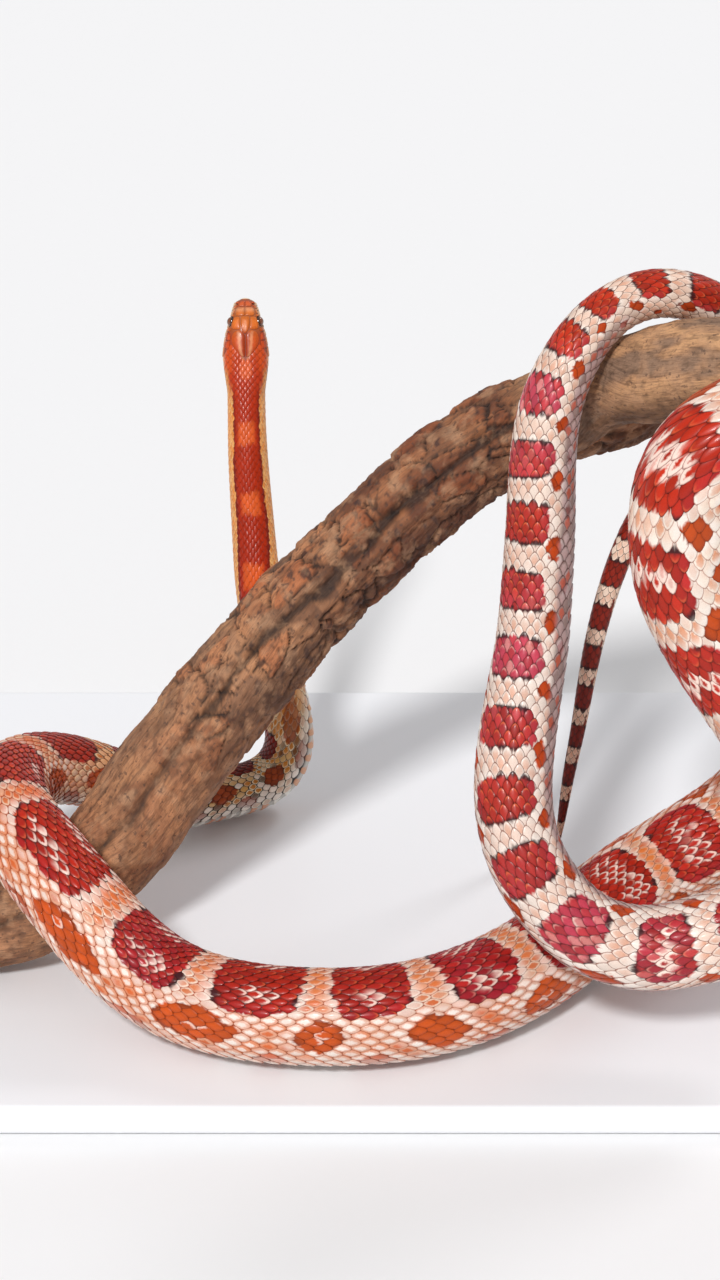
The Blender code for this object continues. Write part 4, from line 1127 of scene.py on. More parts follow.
@dataclass(frozen=True)
class EyeFinish(Finish):
    """A dark eye: a round pupil in a rust iris, under a clear cap."""

    def build(self) -> bpy.types.Material:
        """Makes the material."""
        made, kit = self.start()
        spot = kit.node("ShaderNodeTexCoord").outputs["Object"]
        away = kit.node("ShaderNodeAttribute", attribute_name="Pupil").outputs["Fac"]
        streaks = kit.noise(spot, 2600.0, 2.0)
        iris = kit.mix(streaks, (0.075, 0.016, 0.006, 1.0), (0.30, 0.085, 0.02, 1.0))
        ring = kit.mix(kit.ramp(away, 0.42, 0.47, 0.0, 1.0), (0.45, 0.16, 0.05, 1.0), iris)
        pupil = kit.mix(kit.ramp(away, 0.38, 0.42, 0.0, 1.0), (0.004, 0.003, 0.003, 1.0), ring)
        white = kit.mix(kit.ramp(away, 0.86, 0.94, 0.0, 1.0), pupil, (0.03, 0.012, 0.008, 1.0))
        self.end(kit, white, spot)
        return made


@dataclass(frozen=True)
class PlainFinish(Finish):
    """One colour with a fine grain."""

    colour: Colour = (0.8, 0.8, 0.8)

    def build(self) -> bpy.types.Material:
        """Makes the material."""
        made, kit = self.start()
        spot = kit.node("ShaderNodeTexCoord").outputs["Object"]
        self.end(kit, self.colour, spot)
        return made


@dataclass(frozen=True)
class BrushedFinish(Finish):
    """Brushed steel, its lines running round the rod."""

    colour: Colour = (0.6, 0.6, 0.61)

    def build(self) -> bpy.types.Material:
        """Makes the material."""
        made, kit = self.start()
        spot = kit.node("ShaderNodeTexCoord").outputs["Object"]
        stretch = kit.node("ShaderNodeMapping")
        kit.link(spot, stretch.inputs["Vector"])
        stretch.inputs["Scale"].default_value = (60.0, 60.0, 9000.0)
        lines = kit.noise(stretch.outputs["Vector"], 1.0, 2.0)
        colour = kit.mix(lines, tuple(0.8 * part for part in self.colour) + (1.0,), (*self.colour, 1.0))
        self.end(kit, colour, spot, lines)
        return made


@dataclass
class Snake:
    """The snake's skin, scales, belly scutes, head shields and eyes."""

    columns: int = 72
    scale_sides: int = 12
    shield_sides: int = 28
    scute_sides: int = 36
    scale_length: tuple = ((-32, 1.9), (0, 2.7), (60, 3.1), (150, 3.9), (250, 4.5), (350, 4.8), (560, 5.1),
                           (900, 6.0),
                           (1060, 5.5), (1137, 5.0), (1200, 4.7), (1290, 4.2), (1350, 3.9), (1400, 3.7),
                           (1460, 3.3), (1510, 2.9), (1549, 2.2))
    scale_rows: tuple = ((-32, 25), (0, 25), (150, 29), (350, 33), (600, 33), (900, 30), (1060, 28), (1137, 26),
                         (1250, 23), (1350, 21), (1395, 18), (1420, 13), (1470, 10), (1520, 8), (1549, 6))
    gap_along: float = 1.08
    gap_across: tuple = ((0, 0.92), (150, 0.76), (250, 0.72), (600, 0.76), (900, 0.86), (1100, 0.90), (1393, 0.88))
    outlined: tuple = ((0, 0.0), (100, 0.2), (125, 1.0), (200, 1.0), (250, 0.3), (900, 0.5), (1100, 0.8),
                       (1300, 0.85), (1400, 1.0))
    front_point: float = 1.35
    rear_point: float = 1.55
    fine_back: float = 0.86
    pattern_share: float = 0.6

    def __post_init__(self) -> None:
        """Prepares the form, the markings and the spacing of the scales."""
        self.form = SnakeForm()
        self.markings = Markings()
        self.draw = np.random.default_rng(SEED + 1)
        places = np.arange(-HEAD_LENGTH, self.form.length, 0.5)
        pitch = np.interp(places, *zip(*self.scale_length))
        numbers = np.concatenate([[0.0], np.cumsum(0.5 / pitch[:-1])])
        self.ring_places = places
        self.ring_numbers = numbers - np.interp(0.0, places, numbers)

    # Bands of scale rows, counted from the middle of the back
    BANDS = (("scales_left_low", -16, -11), ("scales_left_middle", -10, -6), ("scales_left_high", -5, -2),
             ("scales_back", -1, 1), ("scales_right_high", 2, 5), ("scales_right_middle", 6, 10),
             ("scales_right_low", 11, 16))

    def build(self) -> list[bpy.types.Object]:
        """Builds and dresses every piece of the snake."""
        skin_finish = SkinFinish("snake_skin", roughness=0.55, coat=0.05, grain_scale=1500.0).build()
        scale_finish = ScaleFinish(
            "snake_scales", roughness=0.36, coat=0.09, coat_roughness=0.11, specular=0.22, grain_scale=2600.0,
            grain_amount=0.40, bump_depth=0.00012, bump_strength=0.45).build()
        skin = self.skin()
        skin.data.materials.append(skin_finish)
        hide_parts("head", *[name for name, _, _ in LENGTHS])
        self.dress(skin, Slot.BODY_SKIN)
        made = [skin]
        for name, low, high in self.BANDS:
            piece = self.scales(name, low, high)
            piece.data.materials.append(scale_finish)
            made.append(self.dress(piece, Slot.BODY_SKIN))
        belly = self.scutes()
        belly.data.materials.append(scale_finish)
        made.append(self.dress(belly, Slot.BODY_SKIN))
        head = self.shields()
        head.data.materials.append(scale_finish)
        made.append(self.dress(head, Slot.HEAD_SKIN))
        for name, side in (("eye_left", -1.0), ("eye_right", 1.0)):
            made.append(self.eye(name, side))
        return made

    @staticmethod
    def dress(piece: bpy.types.Object, slot: Slot) -> bpy.types.Object:
        """Sets what the piece rides on."""
        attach(piece, "root")
        return piece

    def skin(self) -> bpy.types.Object:
        """One skin from the snout to the tip of the tail."""
        places = [-HEAD_LENGTH]
        while places[-1] < self.form.length:
            back = places[-1] + HEAD_LENGTH
            step = float(np.interp(back, (0, 0.4, 2, 6, 24, 34, 60, 1500), (0.05, 0.1, 0.3, 0.4, 0.5, 0.9, 1.55, 1.4)))
            places.append(places[-1] + step)
        places[-1] = self.form.length
        table = np.array(places)
        turns = np.linspace(0.0, 180.0, 721)
        weight = 1.0 + 3.0 * bell(turns, self.form.head.mouth_angle, 12.0)
        crowd = np.concatenate([[0.0], np.cumsum(0.5 * (weight[1:] + weight[:-1]))])
        even = np.linspace(0.0, 1.0, self.columns // 2 + 1)
        head_turns = np.interp(even, crowd / crowd[-1], turns)

        def place(ring: np.ndarray, column: np.ndarray) -> tuple:
            spot = table[ring.astype(int)]
            half = column - self.columns / 2
            index = np.abs(half).astype(int)
            share = smooth_step(spot, -6.0, 30.0)
            turn = head_turns[index] * (1.0 - share) + 180.0 * even[index] * share
            angle = np.where(half < 0, -turn, turn)
            lift = -self.form.COAT * self.form.coat(spot)
            tip = ring == 0
            points = self.form.point(spot, angle, lift)
            points[tip] = self.form.point(spot[tip], angle[tip], -self.form.head_radius(
                spot[tip] + HEAD_LENGTH, angle[tip]))
            end = spot > self.form.length - 1e-6
            points[end] = self.form.point(spot[end], angle[end], -0.5 * 1.3 * np.ones(end.sum()) + 0.05)
            still = np.full((len(spot), 4), 0.5)
            _, _, colours, _ = self.markings.body(spot, angle, still, np.zeros(len(spot)))
            _, _, below = self.markings.underside(spot, np.zeros(len(spot)), spot)
            colours = blend(colours, below, smooth_step(np.abs(angle), self.form.BELLY_EDGE - 5.0,
                                                        self.form.BELLY_EDGE + 4.0))
            back, out, up = self.head_place(spot, angle)
            _, _, crown = self.markings.head(back, out, up, still)
            colours = blend(crown, colours, smooth_step(spot, -9.0, 2.0))
            # Painted shade: a dark red-brown laid into the mouth's groove, the eye sockets and the nostrils
            colours = blend(colours, linear((60, 22, 14)) * np.ones((len(spot), 1)), self.opening_shade(back, out, up, angle))
            return points, {"Pigment": colours}, {"OFBake": self.form.unwrap(spot, angle)}

        return tube("skin", len(table), self.columns, place)

    def head_place(self, place: np.ndarray, angle: np.ndarray) -> tuple[np.ndarray, ...]:
        """The distance back from the snout, sideways and over the mouth's line of points on the head."""
        back = place + HEAD_LENGTH
        reach = self.form.head_radius(back, angle)
        turn = np.radians(angle)
        return back, reach * np.sin(turn), reach * np.cos(turn)

    def opening_shade(self, back: np.ndarray, out: np.ndarray, up: np.ndarray, angle: np.ndarray) -> np.ndarray:
        """How deep in the mouth's groove, an eye socket or a nostril a point is, from 0 to 1, for the painted shade
        laid into them.
        """
        head = self.form.head
        mouth = bell(np.abs(angle), head.mouth_angle, 3.0) * (back < head.mouth_corner + 0.8) * (back > 0.2)
        height = up + head.mouth(back)
        eye = 1.0 - smooth_step(np.hypot(back - head.eye_back, height - head.eye_up), 1.25, 1.65)
        nostril = bell(np.hypot(back - head.nostril_back, height - head.nostril_up), 0.0, 0.5)
        side = (np.abs(angle) > 30.0) * (np.abs(angle) < 100.0)
        return np.clip(np.maximum(mouth, side * np.maximum(eye, nostril)), 0.0, 1.0)

    def lattice(self, first: int, last: int) -> tuple[np.ndarray, ...]:
        """Middles of the scales between two row numbers, as rows that alternate like bricks.

        Returns:
            The places, angles, lengths and the angles between rows.
        """
        found = []
        for row in range(first, last + 1):
            low, high = self.ring_numbers[0], self.ring_numbers[-1]
            rings = np.arange(math.ceil(low), math.floor(high)) + (0.5 if row % 2 else 0.0)
            place = np.interp(rings, self.ring_numbers, self.ring_places)
            rows = np.interp(place, *zip(*self.scale_rows))
            share = row / (0.5 * rows)
            growth = 1.0 - self.fine_back
            angle = self.form.BELLY_EDGE * share * (self.fine_back + growth * share ** 2)
            spread = 2.0 * self.form.BELLY_EDGE / rows * (self.fine_back + 3.0 * growth * share ** 2)
            keep = (np.abs(angle) < self.form.BELLY_EDGE - 0.25 * spread) & (place > 16.6 - HEAD_LENGTH)
            keep &= place < self.form.length - 2.0
            length = np.interp(place, *zip(*self.scale_length))
            found.append(np.stack([place, angle, length, spread], axis=-1)[keep])
        table = np.concatenate(found)
        return table[:, 0], table[:, 1], table[:, 2], table[:, 3]

    def scales(self, name: str, first: int, last: int) -> bpy.types.Object:
        """Closed, domed and slightly lifted scales for a band of rows."""
        rows, faces = Relief(self.scale_sides, (0.5, 0.82, 0.94, 1.0)).build()
        place, angle, length, spread = self.lattice(first, last)
        keep = ~self.under_shields(place, angle)
        place, angle, length, spread = place[keep], angle[keep], length[keep], spread[keep]
        draw = self.draw.random((len(place), 4))
        share, turn, level = rows.T
        cos, sin = np.cos(turn), np.sin(turn)
        power = 2.0 / np.where(cos > 0, self.rear_point, self.front_point)
        x = share * np.sign(cos) * np.abs(cos) ** power
        y = share * np.sign(sin) * np.abs(sin) ** power
        spot, plate, round_way = self.laid(place, angle, length, spread, x, y, draw)
        thick = self.form.coat(place)[:, None]
        root = level[None] > 0.5
        lean = -0.28 + 0.24 * x[None]
        dome = 0.20 * (1.0 - share[None] ** 2) - 0.08 * share[None] ** 6
        lift = np.where(root, -0.75, lean + dome * (0.85 + 0.3 * draw[:, :1])) * thick
        points = self.form.point(spot, round_way, lift)
        near = place[:, None] + self.pattern_share * (spot - place[:, None])
        around = angle[:, None] + self.pattern_share * (round_way - angle[:, None])
        size = (*spot.shape, 3)
        same = np.repeat(draw, len(x), axis=0)
        along = np.tile(x, len(place))
        inner, rim, skin, wide = self.markings.body(near.reshape(-1), around.reshape(-1), same, along)
        inner, rim, skin = self.with_head(near.reshape(-1), around.reshape(-1), same, inner, rim, skin)
        inner, rim, skin = inner.reshape(size), rim.reshape(size), skin.reshape(size)
        outer = np.interp(place, *zip(*self.outlined))[:, None] * (share > 0.9)[None]
        deep = np.maximum(outer, 0.85 * ((share > 0.97) | root[0])[None])
        inner, rim = blend(inner, skin, deep), blend(rim, skin, deep)
        coat = Coat()
        coat.add(points, faces, inner, rim, plate, self.bake_patch(place, angle, length, x, y), wide)
        return coat.finish(name)

    def with_head(self, place: np.ndarray, angle: np.ndarray, draw: np.ndarray, *colours: np.ndarray
                  ) -> list[np.ndarray]:
        """Blends the body's colours into the head's over the nape."""
        head = self.markings.head(*self.head_place(place, angle), draw)
        share = smooth_step(place, -6.0, 3.0)
        return [blend(first, second, share) for first, second in zip(head, colours)]

    def laid(self, place: np.ndarray, angle: np.ndarray, length: np.ndarray, spread: np.ndarray, x: np.ndarray,
             y: np.ndarray, draw: np.ndarray) -> tuple[np.ndarray, np.ndarray, np.ndarray]:
        """Lays a scale's outline on each middle, its front end longer so that it runs under the one before."""
        size = 0.96 + 0.07 * draw[:, 1:2]
        reach = np.where(x[None] < 0, 1.18, 1.0)
        spot = place[:, None] + 0.5 * self.gap_along * length[:, None] * x[None] * reach * size
        across = np.interp(place, *zip(*self.gap_across))[:, None]
        round_way = angle[:, None] + across * spread[:, None] * y[None] * size
        plate = np.broadcast_to(np.stack([x, y], axis=-1)[None], (len(place), len(x), 2))
        return spot, plate, round_way

    def bake_patch(self, place: np.ndarray, angle: np.ndarray, length: np.ndarray, x: np.ndarray, y: np.ndarray
                   ) -> np.ndarray:
        """A small patch for each scale at its place on the skin's unwrap."""
        middle = self.form.unwrap(place, angle)[:, None]
        half = np.minimum(0.003, 0.4 * length / self.form.length * 4.0)[:, None]
        offset = np.stack([half * x[None], 0.0025 * np.broadcast_to(y[None], (len(place), len(y)))], axis=-1)
        return middle + offset

    def scutes(self) -> bpy.types.Object:
        """Wide belly scutes, and the paired plates under the tail."""
        rows, faces = Relief(self.scute_sides, (0.4, 0.75, 0.93, 1.0)).build()
        share, turn, level = rows.T
        cos, sin = np.cos(turn), np.sin(turn)
        x = share * np.sign(cos) * np.abs(cos) ** 0.5
        y = share * np.sign(sin) * np.abs(sin) ** 0.5
        rings = np.arange(math.ceil(np.interp(-7.0, self.ring_places, self.ring_numbers)),
                          math.floor(self.ring_numbers[-1] - 1))
        place = np.interp(rings, self.ring_numbers, self.ring_places)
        length = np.interp(place, *zip(*self.scale_length))
        coat = Coat()
        tail = place > self.form.TAIL_START + 4.0
        vent = (place > self.form.TAIL_START - 6.0) & ~tail
        half_belly = 180.0 - self.form.BELLY_EDGE + 4.0
        for chosen, middle, half in (
            (~tail & ~vent, 180.0, half_belly),
            (tail | vent, 180.0 - 0.51 * half_belly, 0.49 * half_belly),
            (tail | vent, 180.0 + 0.51 * half_belly, 0.49 * half_belly),
        ):
            spot = place[chosen, None] + 0.5 * length[chosen, None] * np.where(x < 0, 1.16, 0.98)[None] * x[None]
            round_way = middle + half * np.broadcast_to(y[None], spot.shape)
            round_way = np.where(round_way > 180.0, round_way - 360.0, round_way)
            thick = self.form.coat(place[chosen])[:, None]
            lift = (-0.28 + 0.36 * x[None] - 0.14 * share[None] ** 8) * thick
            lift = np.where(level[None] > 0.5, -0.95 * thick, lift)
            points = self.form.point(spot, round_way, lift)
            side = (middle - 180.0 + half * y[None]) / half_belly
            side = np.broadcast_to(side, spot.shape).reshape(-1)
            ring = np.broadcast_to(rings[chosen, None], spot.shape).reshape(-1)
            inner, rim, _ = self.markings.underside(spot.reshape(-1), side, ring)
            patch = self.form.unwrap(place[chosen], np.full(chosen.sum(), 172.0))[:, None]
            middle_v = 0.004 * (middle - 180.0) / half_belly
            offset = np.stack([0.003 * x, middle_v + 0.004 * y * half / half_belly], axis=-1)[None]
            size = (*spot.shape, 3)
            plate = np.broadcast_to(np.stack([x, y], axis=-1)[None], (*spot.shape, 2))
            coat.add(points, faces, inner.reshape(size), rim.reshape(size), plate, patch + offset)
        return coat.finish("belly_scutes")

    # Shields of the head. Top ones are (mm back from the snout, mm out); side ones are (mm back, mm over the
    # mouth's line); the two of the snout's front are (mm out, mm over the mouth's line).
    TOP = {
        "internasal": ((1.25, 0.1), (1.15, 1.1), (1.75, 1.9), (2.6, 2.35), (3.1, 2.0), (3.15, 0.1)),
        "prefrontal": ((3.35, 0.1), (3.3, 2.1), (3.9, 2.95), (5.2, 3.35), (6.3, 2.9), (6.35, 1.7), (6.2, 0.1)),
        "supraocular": ((6.75, 1.85), (6.6, 3.2), (7.4, 4.25), (9.2, 4.7), (10.7, 4.4), (11.0, 2.9), (10.9, 1.5),
                        (8.8, 1.75)),
        "parietal": ((12.9, 0.1), (12.4, 0.6), (11.2, 1.4), (11.3, 2.9), (12.2, 4.2), (14.2, 4.8), (16.6, 4.2),
                     (18.8, 2.6), (20.2, 0.9), (20.3, 0.1)),
    }
    FRONTAL = ((6.55, 0.0), (6.6, 1.45), (8.8, 1.5), (10.8, 1.2), (12.2, 0.45), (12.65, 0.0), (12.2, -0.45),
               (10.8, -1.2), (8.8, -1.5), (6.6, -1.45))
    SIDE = {
        "nasal_front": ((1.2, 1.45), (1.95, 1.45), (2.1, 1.85), (2.0, 2.3), (2.2, 2.95), (1.5, 2.55)),
        "nasal_rear": ((2.85, 1.5), (3.65, 1.55), (3.7, 2.6), (2.6, 3.0), (2.5, 2.65), (2.8, 2.2)),
        "loreal": ((3.9, 1.6), (5.3, 1.55), (5.4, 2.5), (3.95, 2.55)),
        "preocular": ((5.6, 1.45), (6.25, 1.3), (6.2, 2.2), (6.35, 3.2), (6.5, 3.7), (5.8, 3.2), (5.6, 2.6)),
        "postocular_upper": ((10.2, 2.5), (11.3, 2.4), (11.5, 3.6), (10.6, 3.9)),
        "postocular_lower": ((9.9, 1.2), (11.2, 1.25), (11.3, 2.2), (10.2, 2.3)),
        "temporal_low": ((11.6, 1.75), (14.2, 2.0), (14.3, 3.0), (11.7, 2.9)),
        "temporal_high": ((11.8, 3.1), (14.4, 3.2), (14.5, 4.3), (12.6, 4.0)),
        "temporal_rear_low": ((14.5, 1.9), (17.0, 1.9), (17.1, 2.9), (14.6, 2.9)),
        "temporal_rear_high": ((14.7, 3.1), (17.3, 3.1), (17.3, 4.2), (14.8, 4.3)),
    }
    ROSTRAL = ((-1.55, 0.12), (0.0, 0.05), (1.55, 0.12), (1.8, 0.9), (1.0, 1.75), (0.0, 2.05), (-1.0, 1.75), (-1.8, 0.9))
    MENTAL = ((-1.15, -0.2), (0.0, -0.15), (1.15, -0.2), (0.75, -0.95), (0.0, -1.35), (-0.75, -0.95))
    LABIALS = (1.5, 2.9, 4.4, 6.2, 8.1, 10.2, 12.9, 16.2, 19.9)
    LABIAL_TOPS = (1.3, 1.35, 1.35, 1.2, 0.72, 1.0, 1.55, 1.75, 1.6)
    LOWER_LABIALS = (1.5, 2.8, 4.1, 5.5, 7.0, 8.8, 11.2, 14.0, 17.0, 19.8)
    CHIN = (((2.9, 0.1), (2.6, 1.0), (4.0, 1.9), (7.6, 2.4), (8.2, 0.1)),
            ((8.5, 0.15), (7.9, 2.3), (10.0, 3.0), (13.6, 2.2), (13.8, 0.4)))

    def shield_outlines(self) -> list[tuple[str, np.ndarray, str]]:
        """Every shield of the head as a name, an outline and the way it is seen."""
        found = [("frontal", np.array(self.FRONTAL), "top"), ("rostral", np.array(self.ROSTRAL), "front"),
                 ("mental", np.array(self.MENTAL), "front")]
        for side in (1.0, -1.0):
            mirror = np.array([1.0, side])
            for name, outline in self.TOP.items():
                found.append((name, np.array(outline) * mirror, "top"))
            for name, outline in self.SIDE.items():
                found.append((name, np.array(outline), "right" if side > 0 else "left"))
            for k in range(len(self.LABIALS) - 1):
                a, b = self.LABIALS[k] + 0.06, self.LABIALS[k + 1] - 0.06
                low, high = self.LABIAL_TOPS[k], self.LABIAL_TOPS[k + 1]
                outline = ((a, 0.16), (b, 0.16), (b, high), (0.5 * (a + b), 0.5 * (low + high) + 0.06), (a, low))
                found.append(("labial", np.array(outline), "right" if side > 0 else "left"))
            for k in range(len(self.LOWER_LABIALS) - 1):
                a, b = self.LOWER_LABIALS[k] + 0.06, self.LOWER_LABIALS[k + 1] - 0.06
                deep = -1.0 - 0.35 * math.sin(math.pi * min(1.0, (k + 1) / 7.0))
                outline = ((a, -0.18), (a, deep), (0.5 * (a + b), deep - 0.12), (b, deep), (b, -0.18))
                found.append(("lower_labial", np.array(outline), "right" if side > 0 else "left"))
            for outline in self.CHIN:
                found.append(("chin", np.array(outline) * mirror, "under"))
        return found

    def onto_head(self, points: np.ndarray, view: str) -> tuple[np.ndarray, np.ndarray]:
        """Lays points of one view on to the head.

        Args:
            points: rows of the view's own pair of distances, in mm.
            view: top, under, front, right or left.

        Returns:
            The places along the snake and the angles round it.
        """
        turns = self.form.head_angles
        radians = np.radians(turns)
        places, angles = [], []
        for first, second in points:
            if view == "front":
                angle = math.degrees(math.atan2(first, second))
                column = self.form.head_radii[:20, min(int(abs(angle)), 179)]
                back = float(np.interp(math.hypot(first, second), column, self.form.head_backs[:20]))
            else:
                back = first
                row = self.form.head_radius(np.full_like(turns, back), turns)
                if view == "top":
                    outs = np.maximum.accumulate((row * np.sin(radians))[:86])
                    angle = math.copysign(float(np.interp(abs(second), outs, turns[:86])), second)
                elif view == "under":
                    outs = np.maximum.accumulate((row * np.sin(radians))[:95:-1])
                    angle = math.copysign(float(np.interp(abs(second), outs, turns[:95:-1])), second)
                else:
                    ups = np.minimum.accumulate(row * np.cos(radians))
                    angle = float(np.interp(-second, -ups, turns)) * (1.0 if view == "right" else -1.0)
            places.append(back - HEAD_LENGTH)
            angles.append(angle)
        return np.array(places), np.array(angles)

    def outline_points(self, outline: np.ndarray) -> np.ndarray:
        """An outline with its corners rounded, at even distances."""
        count = 40
        loop = np.vstack([outline, outline[:1]])
        along = np.concatenate([[0.0], np.cumsum(np.linalg.norm(np.diff(loop, axis=0), axis=1))])
        even = np.linspace(0.0, along[-1], count * 4, endpoint=False)
        dense = np.stack([np.interp(even, along, loop[:, k]) for k in range(2)], axis=-1)
        for _ in range(14):
            dense = 0.25 * np.roll(dense, 1, axis=0) + 0.5 * dense + 0.25 * np.roll(dense, -1, axis=0)
        pick = np.linspace(0, len(dense), self.shield_sides, endpoint=False).astype(int)
        return dense[pick]

    def under_shields(self, place: np.ndarray, angle: np.ndarray) -> np.ndarray:
        """Whether a scale's middle lies under a shield of the head, or in front of where scales begin."""
        back, _, up = self.head_place(place, angle)
        hidden = (back < 11.5) & (up > -1.4)
        hidden |= (back < 3.0)
        hidden |= (np.abs(np.abs(angle) - self.form.head.mouth_angle) < 9.0) & (back < self.form.head.mouth_corner + 0.5)
        for _, outline, view in self.shield_outlines():
            spots, turns = self.onto_head(outline, view)
            if spots.min() > 0.0:
                continue
            middle = np.array([spots.mean(), turns.mean()])
            poly = np.stack([spots, turns], axis=-1)
            poly = middle + (poly - middle) * 1.12
            hidden |= self.within(np.stack([place, angle], axis=-1), poly)
        return hidden

    @staticmethod
    def within(points: np.ndarray, outline: np.ndarray) -> np.ndarray:
        """Whether each point lies inside the outline."""
        inside = np.zeros(len(points), bool)
        x, y = points.T
        for (x0, y0), (x1, y1) in zip(outline, np.roll(outline, -1, axis=0)):
            crosses = (y0 > y) != (y1 > y)
            rise = np.where(y1 == y0, 1e-9, y1 - y0)
            inside ^= crosses & (x < (x1 - x0) * (y - y0) / rise + x0)
        return inside

    def shields(self) -> bpy.types.Object:
        """The shields of the head, each a low dome with a fine groove round it, and the throat's small scales."""
        rows, faces = Relief(self.shield_sides, (0.35, 0.65, 0.84, 0.94, 1.0)).build()
        share, turn, level = rows.T
        order = np.rint(turn / (2 * math.pi) * self.shield_sides).astype(int) % self.shield_sides
        coat = Coat()
        for number, (name, outline, view) in enumerate(self.shield_outlines()):
            rim_points = self.outline_points(outline)
            if np.cross(rim_points[1] - rim_points[0], rim_points[3] - rim_points[1]) < 0:
                rim_points = rim_points[::-1]
            middle = rim_points.mean(axis=0)
            flat = middle + (rim_points[order] - middle) * share[:, None]
            place, angle = self.onto_head(flat, view)
            lift = 0.10 - 0.16 * share ** 6
            lift = np.where(level > 0.5, -0.7, lift)
            points = self.form.point(place, angle, lift)
            if self.inside_out(points, faces):
                flipped = [face[::-1] for face in faces]
            else:
                flipped = faces
            draw = np.tile(self.draw.random(4), (len(place), 1))
            back, out, up = self.head_place(place, angle)
            inner, rim, _ = self.markings.head(back, out, up, draw)
            cos, sin = np.cos(turn), np.sin(turn)
            plate = np.stack([share * cos, share * sin], axis=-1)
            bake = np.stack([0.02 + back / 48.0, 0.02 + 0.96 * (angle + 180.0) / 360.0], axis=-1)
            coat.add(points[None], flipped, inner[None], rim[None], plate[None], bake[None])
        self.throat(coat)
        return coat.finish("head_shields")

    @staticmethod
    def inside_out(points: np.ndarray, faces: list) -> bool:
        """Whether a closed shape's faces point inwards."""
        middle = points.mean(axis=0)
        volume = 0.0
        for face in faces:
            a, b, c = points[face[0]] - middle, points[face[1]] - middle, points[face[2]] - middle
            volume += float(np.dot(a, np.cross(b, c)))
        return volume < 0.0

    def throat(self, coat: Coat) -> None:
        """Small scales under the head, between the chin shields and the first belly scutes."""
        rows, faces = Relief(self.scale_sides, (0.55, 0.88, 1.0)).build()
        share, turn, level = rows.T
        cos, sin = np.cos(turn), np.sin(turn)
        x = share * np.sign(cos) * np.abs(cos) ** (2.0 / 1.5)
        y = share * np.sign(sin) * np.abs(sin) ** (2.0 / 1.5)
        sites = []
        for row in range(-3, 4):
            for ring in range(14):
                back = 10.0 + 1.35 * (ring + (0.5 if row % 2 else 0.0))
                angle = 180.0 + 11.7 * row
                angle = angle - 360.0 if angle > 180.0 else angle
                sites.append((back - HEAD_LENGTH, angle))
        place, angle = np.array(sites).T
        keep = (place < -7.5) & ~self.under_shields(place, angle)
        place, angle = place[keep], angle[keep]
        draw = self.draw.random((len(place), 4))
        spot = place[:, None] + 0.5 * 2.5 * x[None] * np.where(x < 0, 1.15, 1.0)[None]
        round_way = angle[:, None] + 11.0 * y[None]
        round_way = np.where(round_way > 180.0, round_way - 360.0, round_way)
        round_way = np.where(round_way < -180.0, round_way + 360.0, round_way)
        lift = -0.10 + 0.10 * x[None] + 0.10 * (1.0 - share[None] ** 2) + 0.0 * draw[:, :1]
        lift = np.where(level[None] > 0.5, -0.5, lift)
        points = self.form.point(spot, round_way, lift)
        back, out, up = self.head_place(place, angle)
        inner, rim, _ = self.markings.head(back, out, up, draw)
        size = (len(place), len(x), 3)
        bake = np.stack([0.02 + back / 48.0, 0.02 + 0.96 * (angle + 180.0) / 360.0], axis=-1)[:, None]
        bake = bake + 0.006 * np.stack([x, y], axis=-1)[None]
        plate = np.broadcast_to(np.stack([x, y], axis=-1)[None], (len(place), len(x), 2))
        coat.add(points, faces, np.broadcast_to(inner[:, None], size), np.broadcast_to(rim[:, None], size), plate, bake)

    def eye(self, name: str, side: float) -> bpy.types.Object:
        """One eye: a ball whose clear cap faces outwards and a little forwards and up."""
        head = self.form.head
        mesh = bmesh.new()
        bmesh.ops.create_uvsphere(mesh, u_segments=48, v_segments=32, radius=head.eye_radius * MM)
        out = Vector(self.form.right * side + 0.18 * self.form.forward + 0.16 * self.form.crown).normalized()
        turn = Vector((0, 0, 1)).rotation_difference(out).to_matrix().to_4x4()
        centre = self.form.tip - self.form.forward * head.eye_back
        centre = centre + self.form.right * side * head.eye_out + self.form.crown * head.eye_up
        pupil = mesh.verts.layers.float.new("Pupil")
        for vert in mesh.verts:
            vert[pupil] = 1.0 - max(0.0, vert.co.normalized().z) ** 1.0 if vert.co.z < 0 else math.sqrt(
                max(0.0, 1.0 - (vert.co.z / (head.eye_radius * MM)) ** 2))
        bmesh.ops.transform(mesh, matrix=Matrix.Translation(Vector(centre) * MM) @ turn, verts=mesh.verts)
        made = object_of(name, mesh)
        made.data.materials.append(
            EyeFinish(name + "_finish", roughness=0.12, coat=1.0, coat_roughness=0.02, grain_scale=4000.0,
                      grain_amount=0.15, bump_strength=0.02).build())
        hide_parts(name)
        return self.dress(made, Slot.EYE)


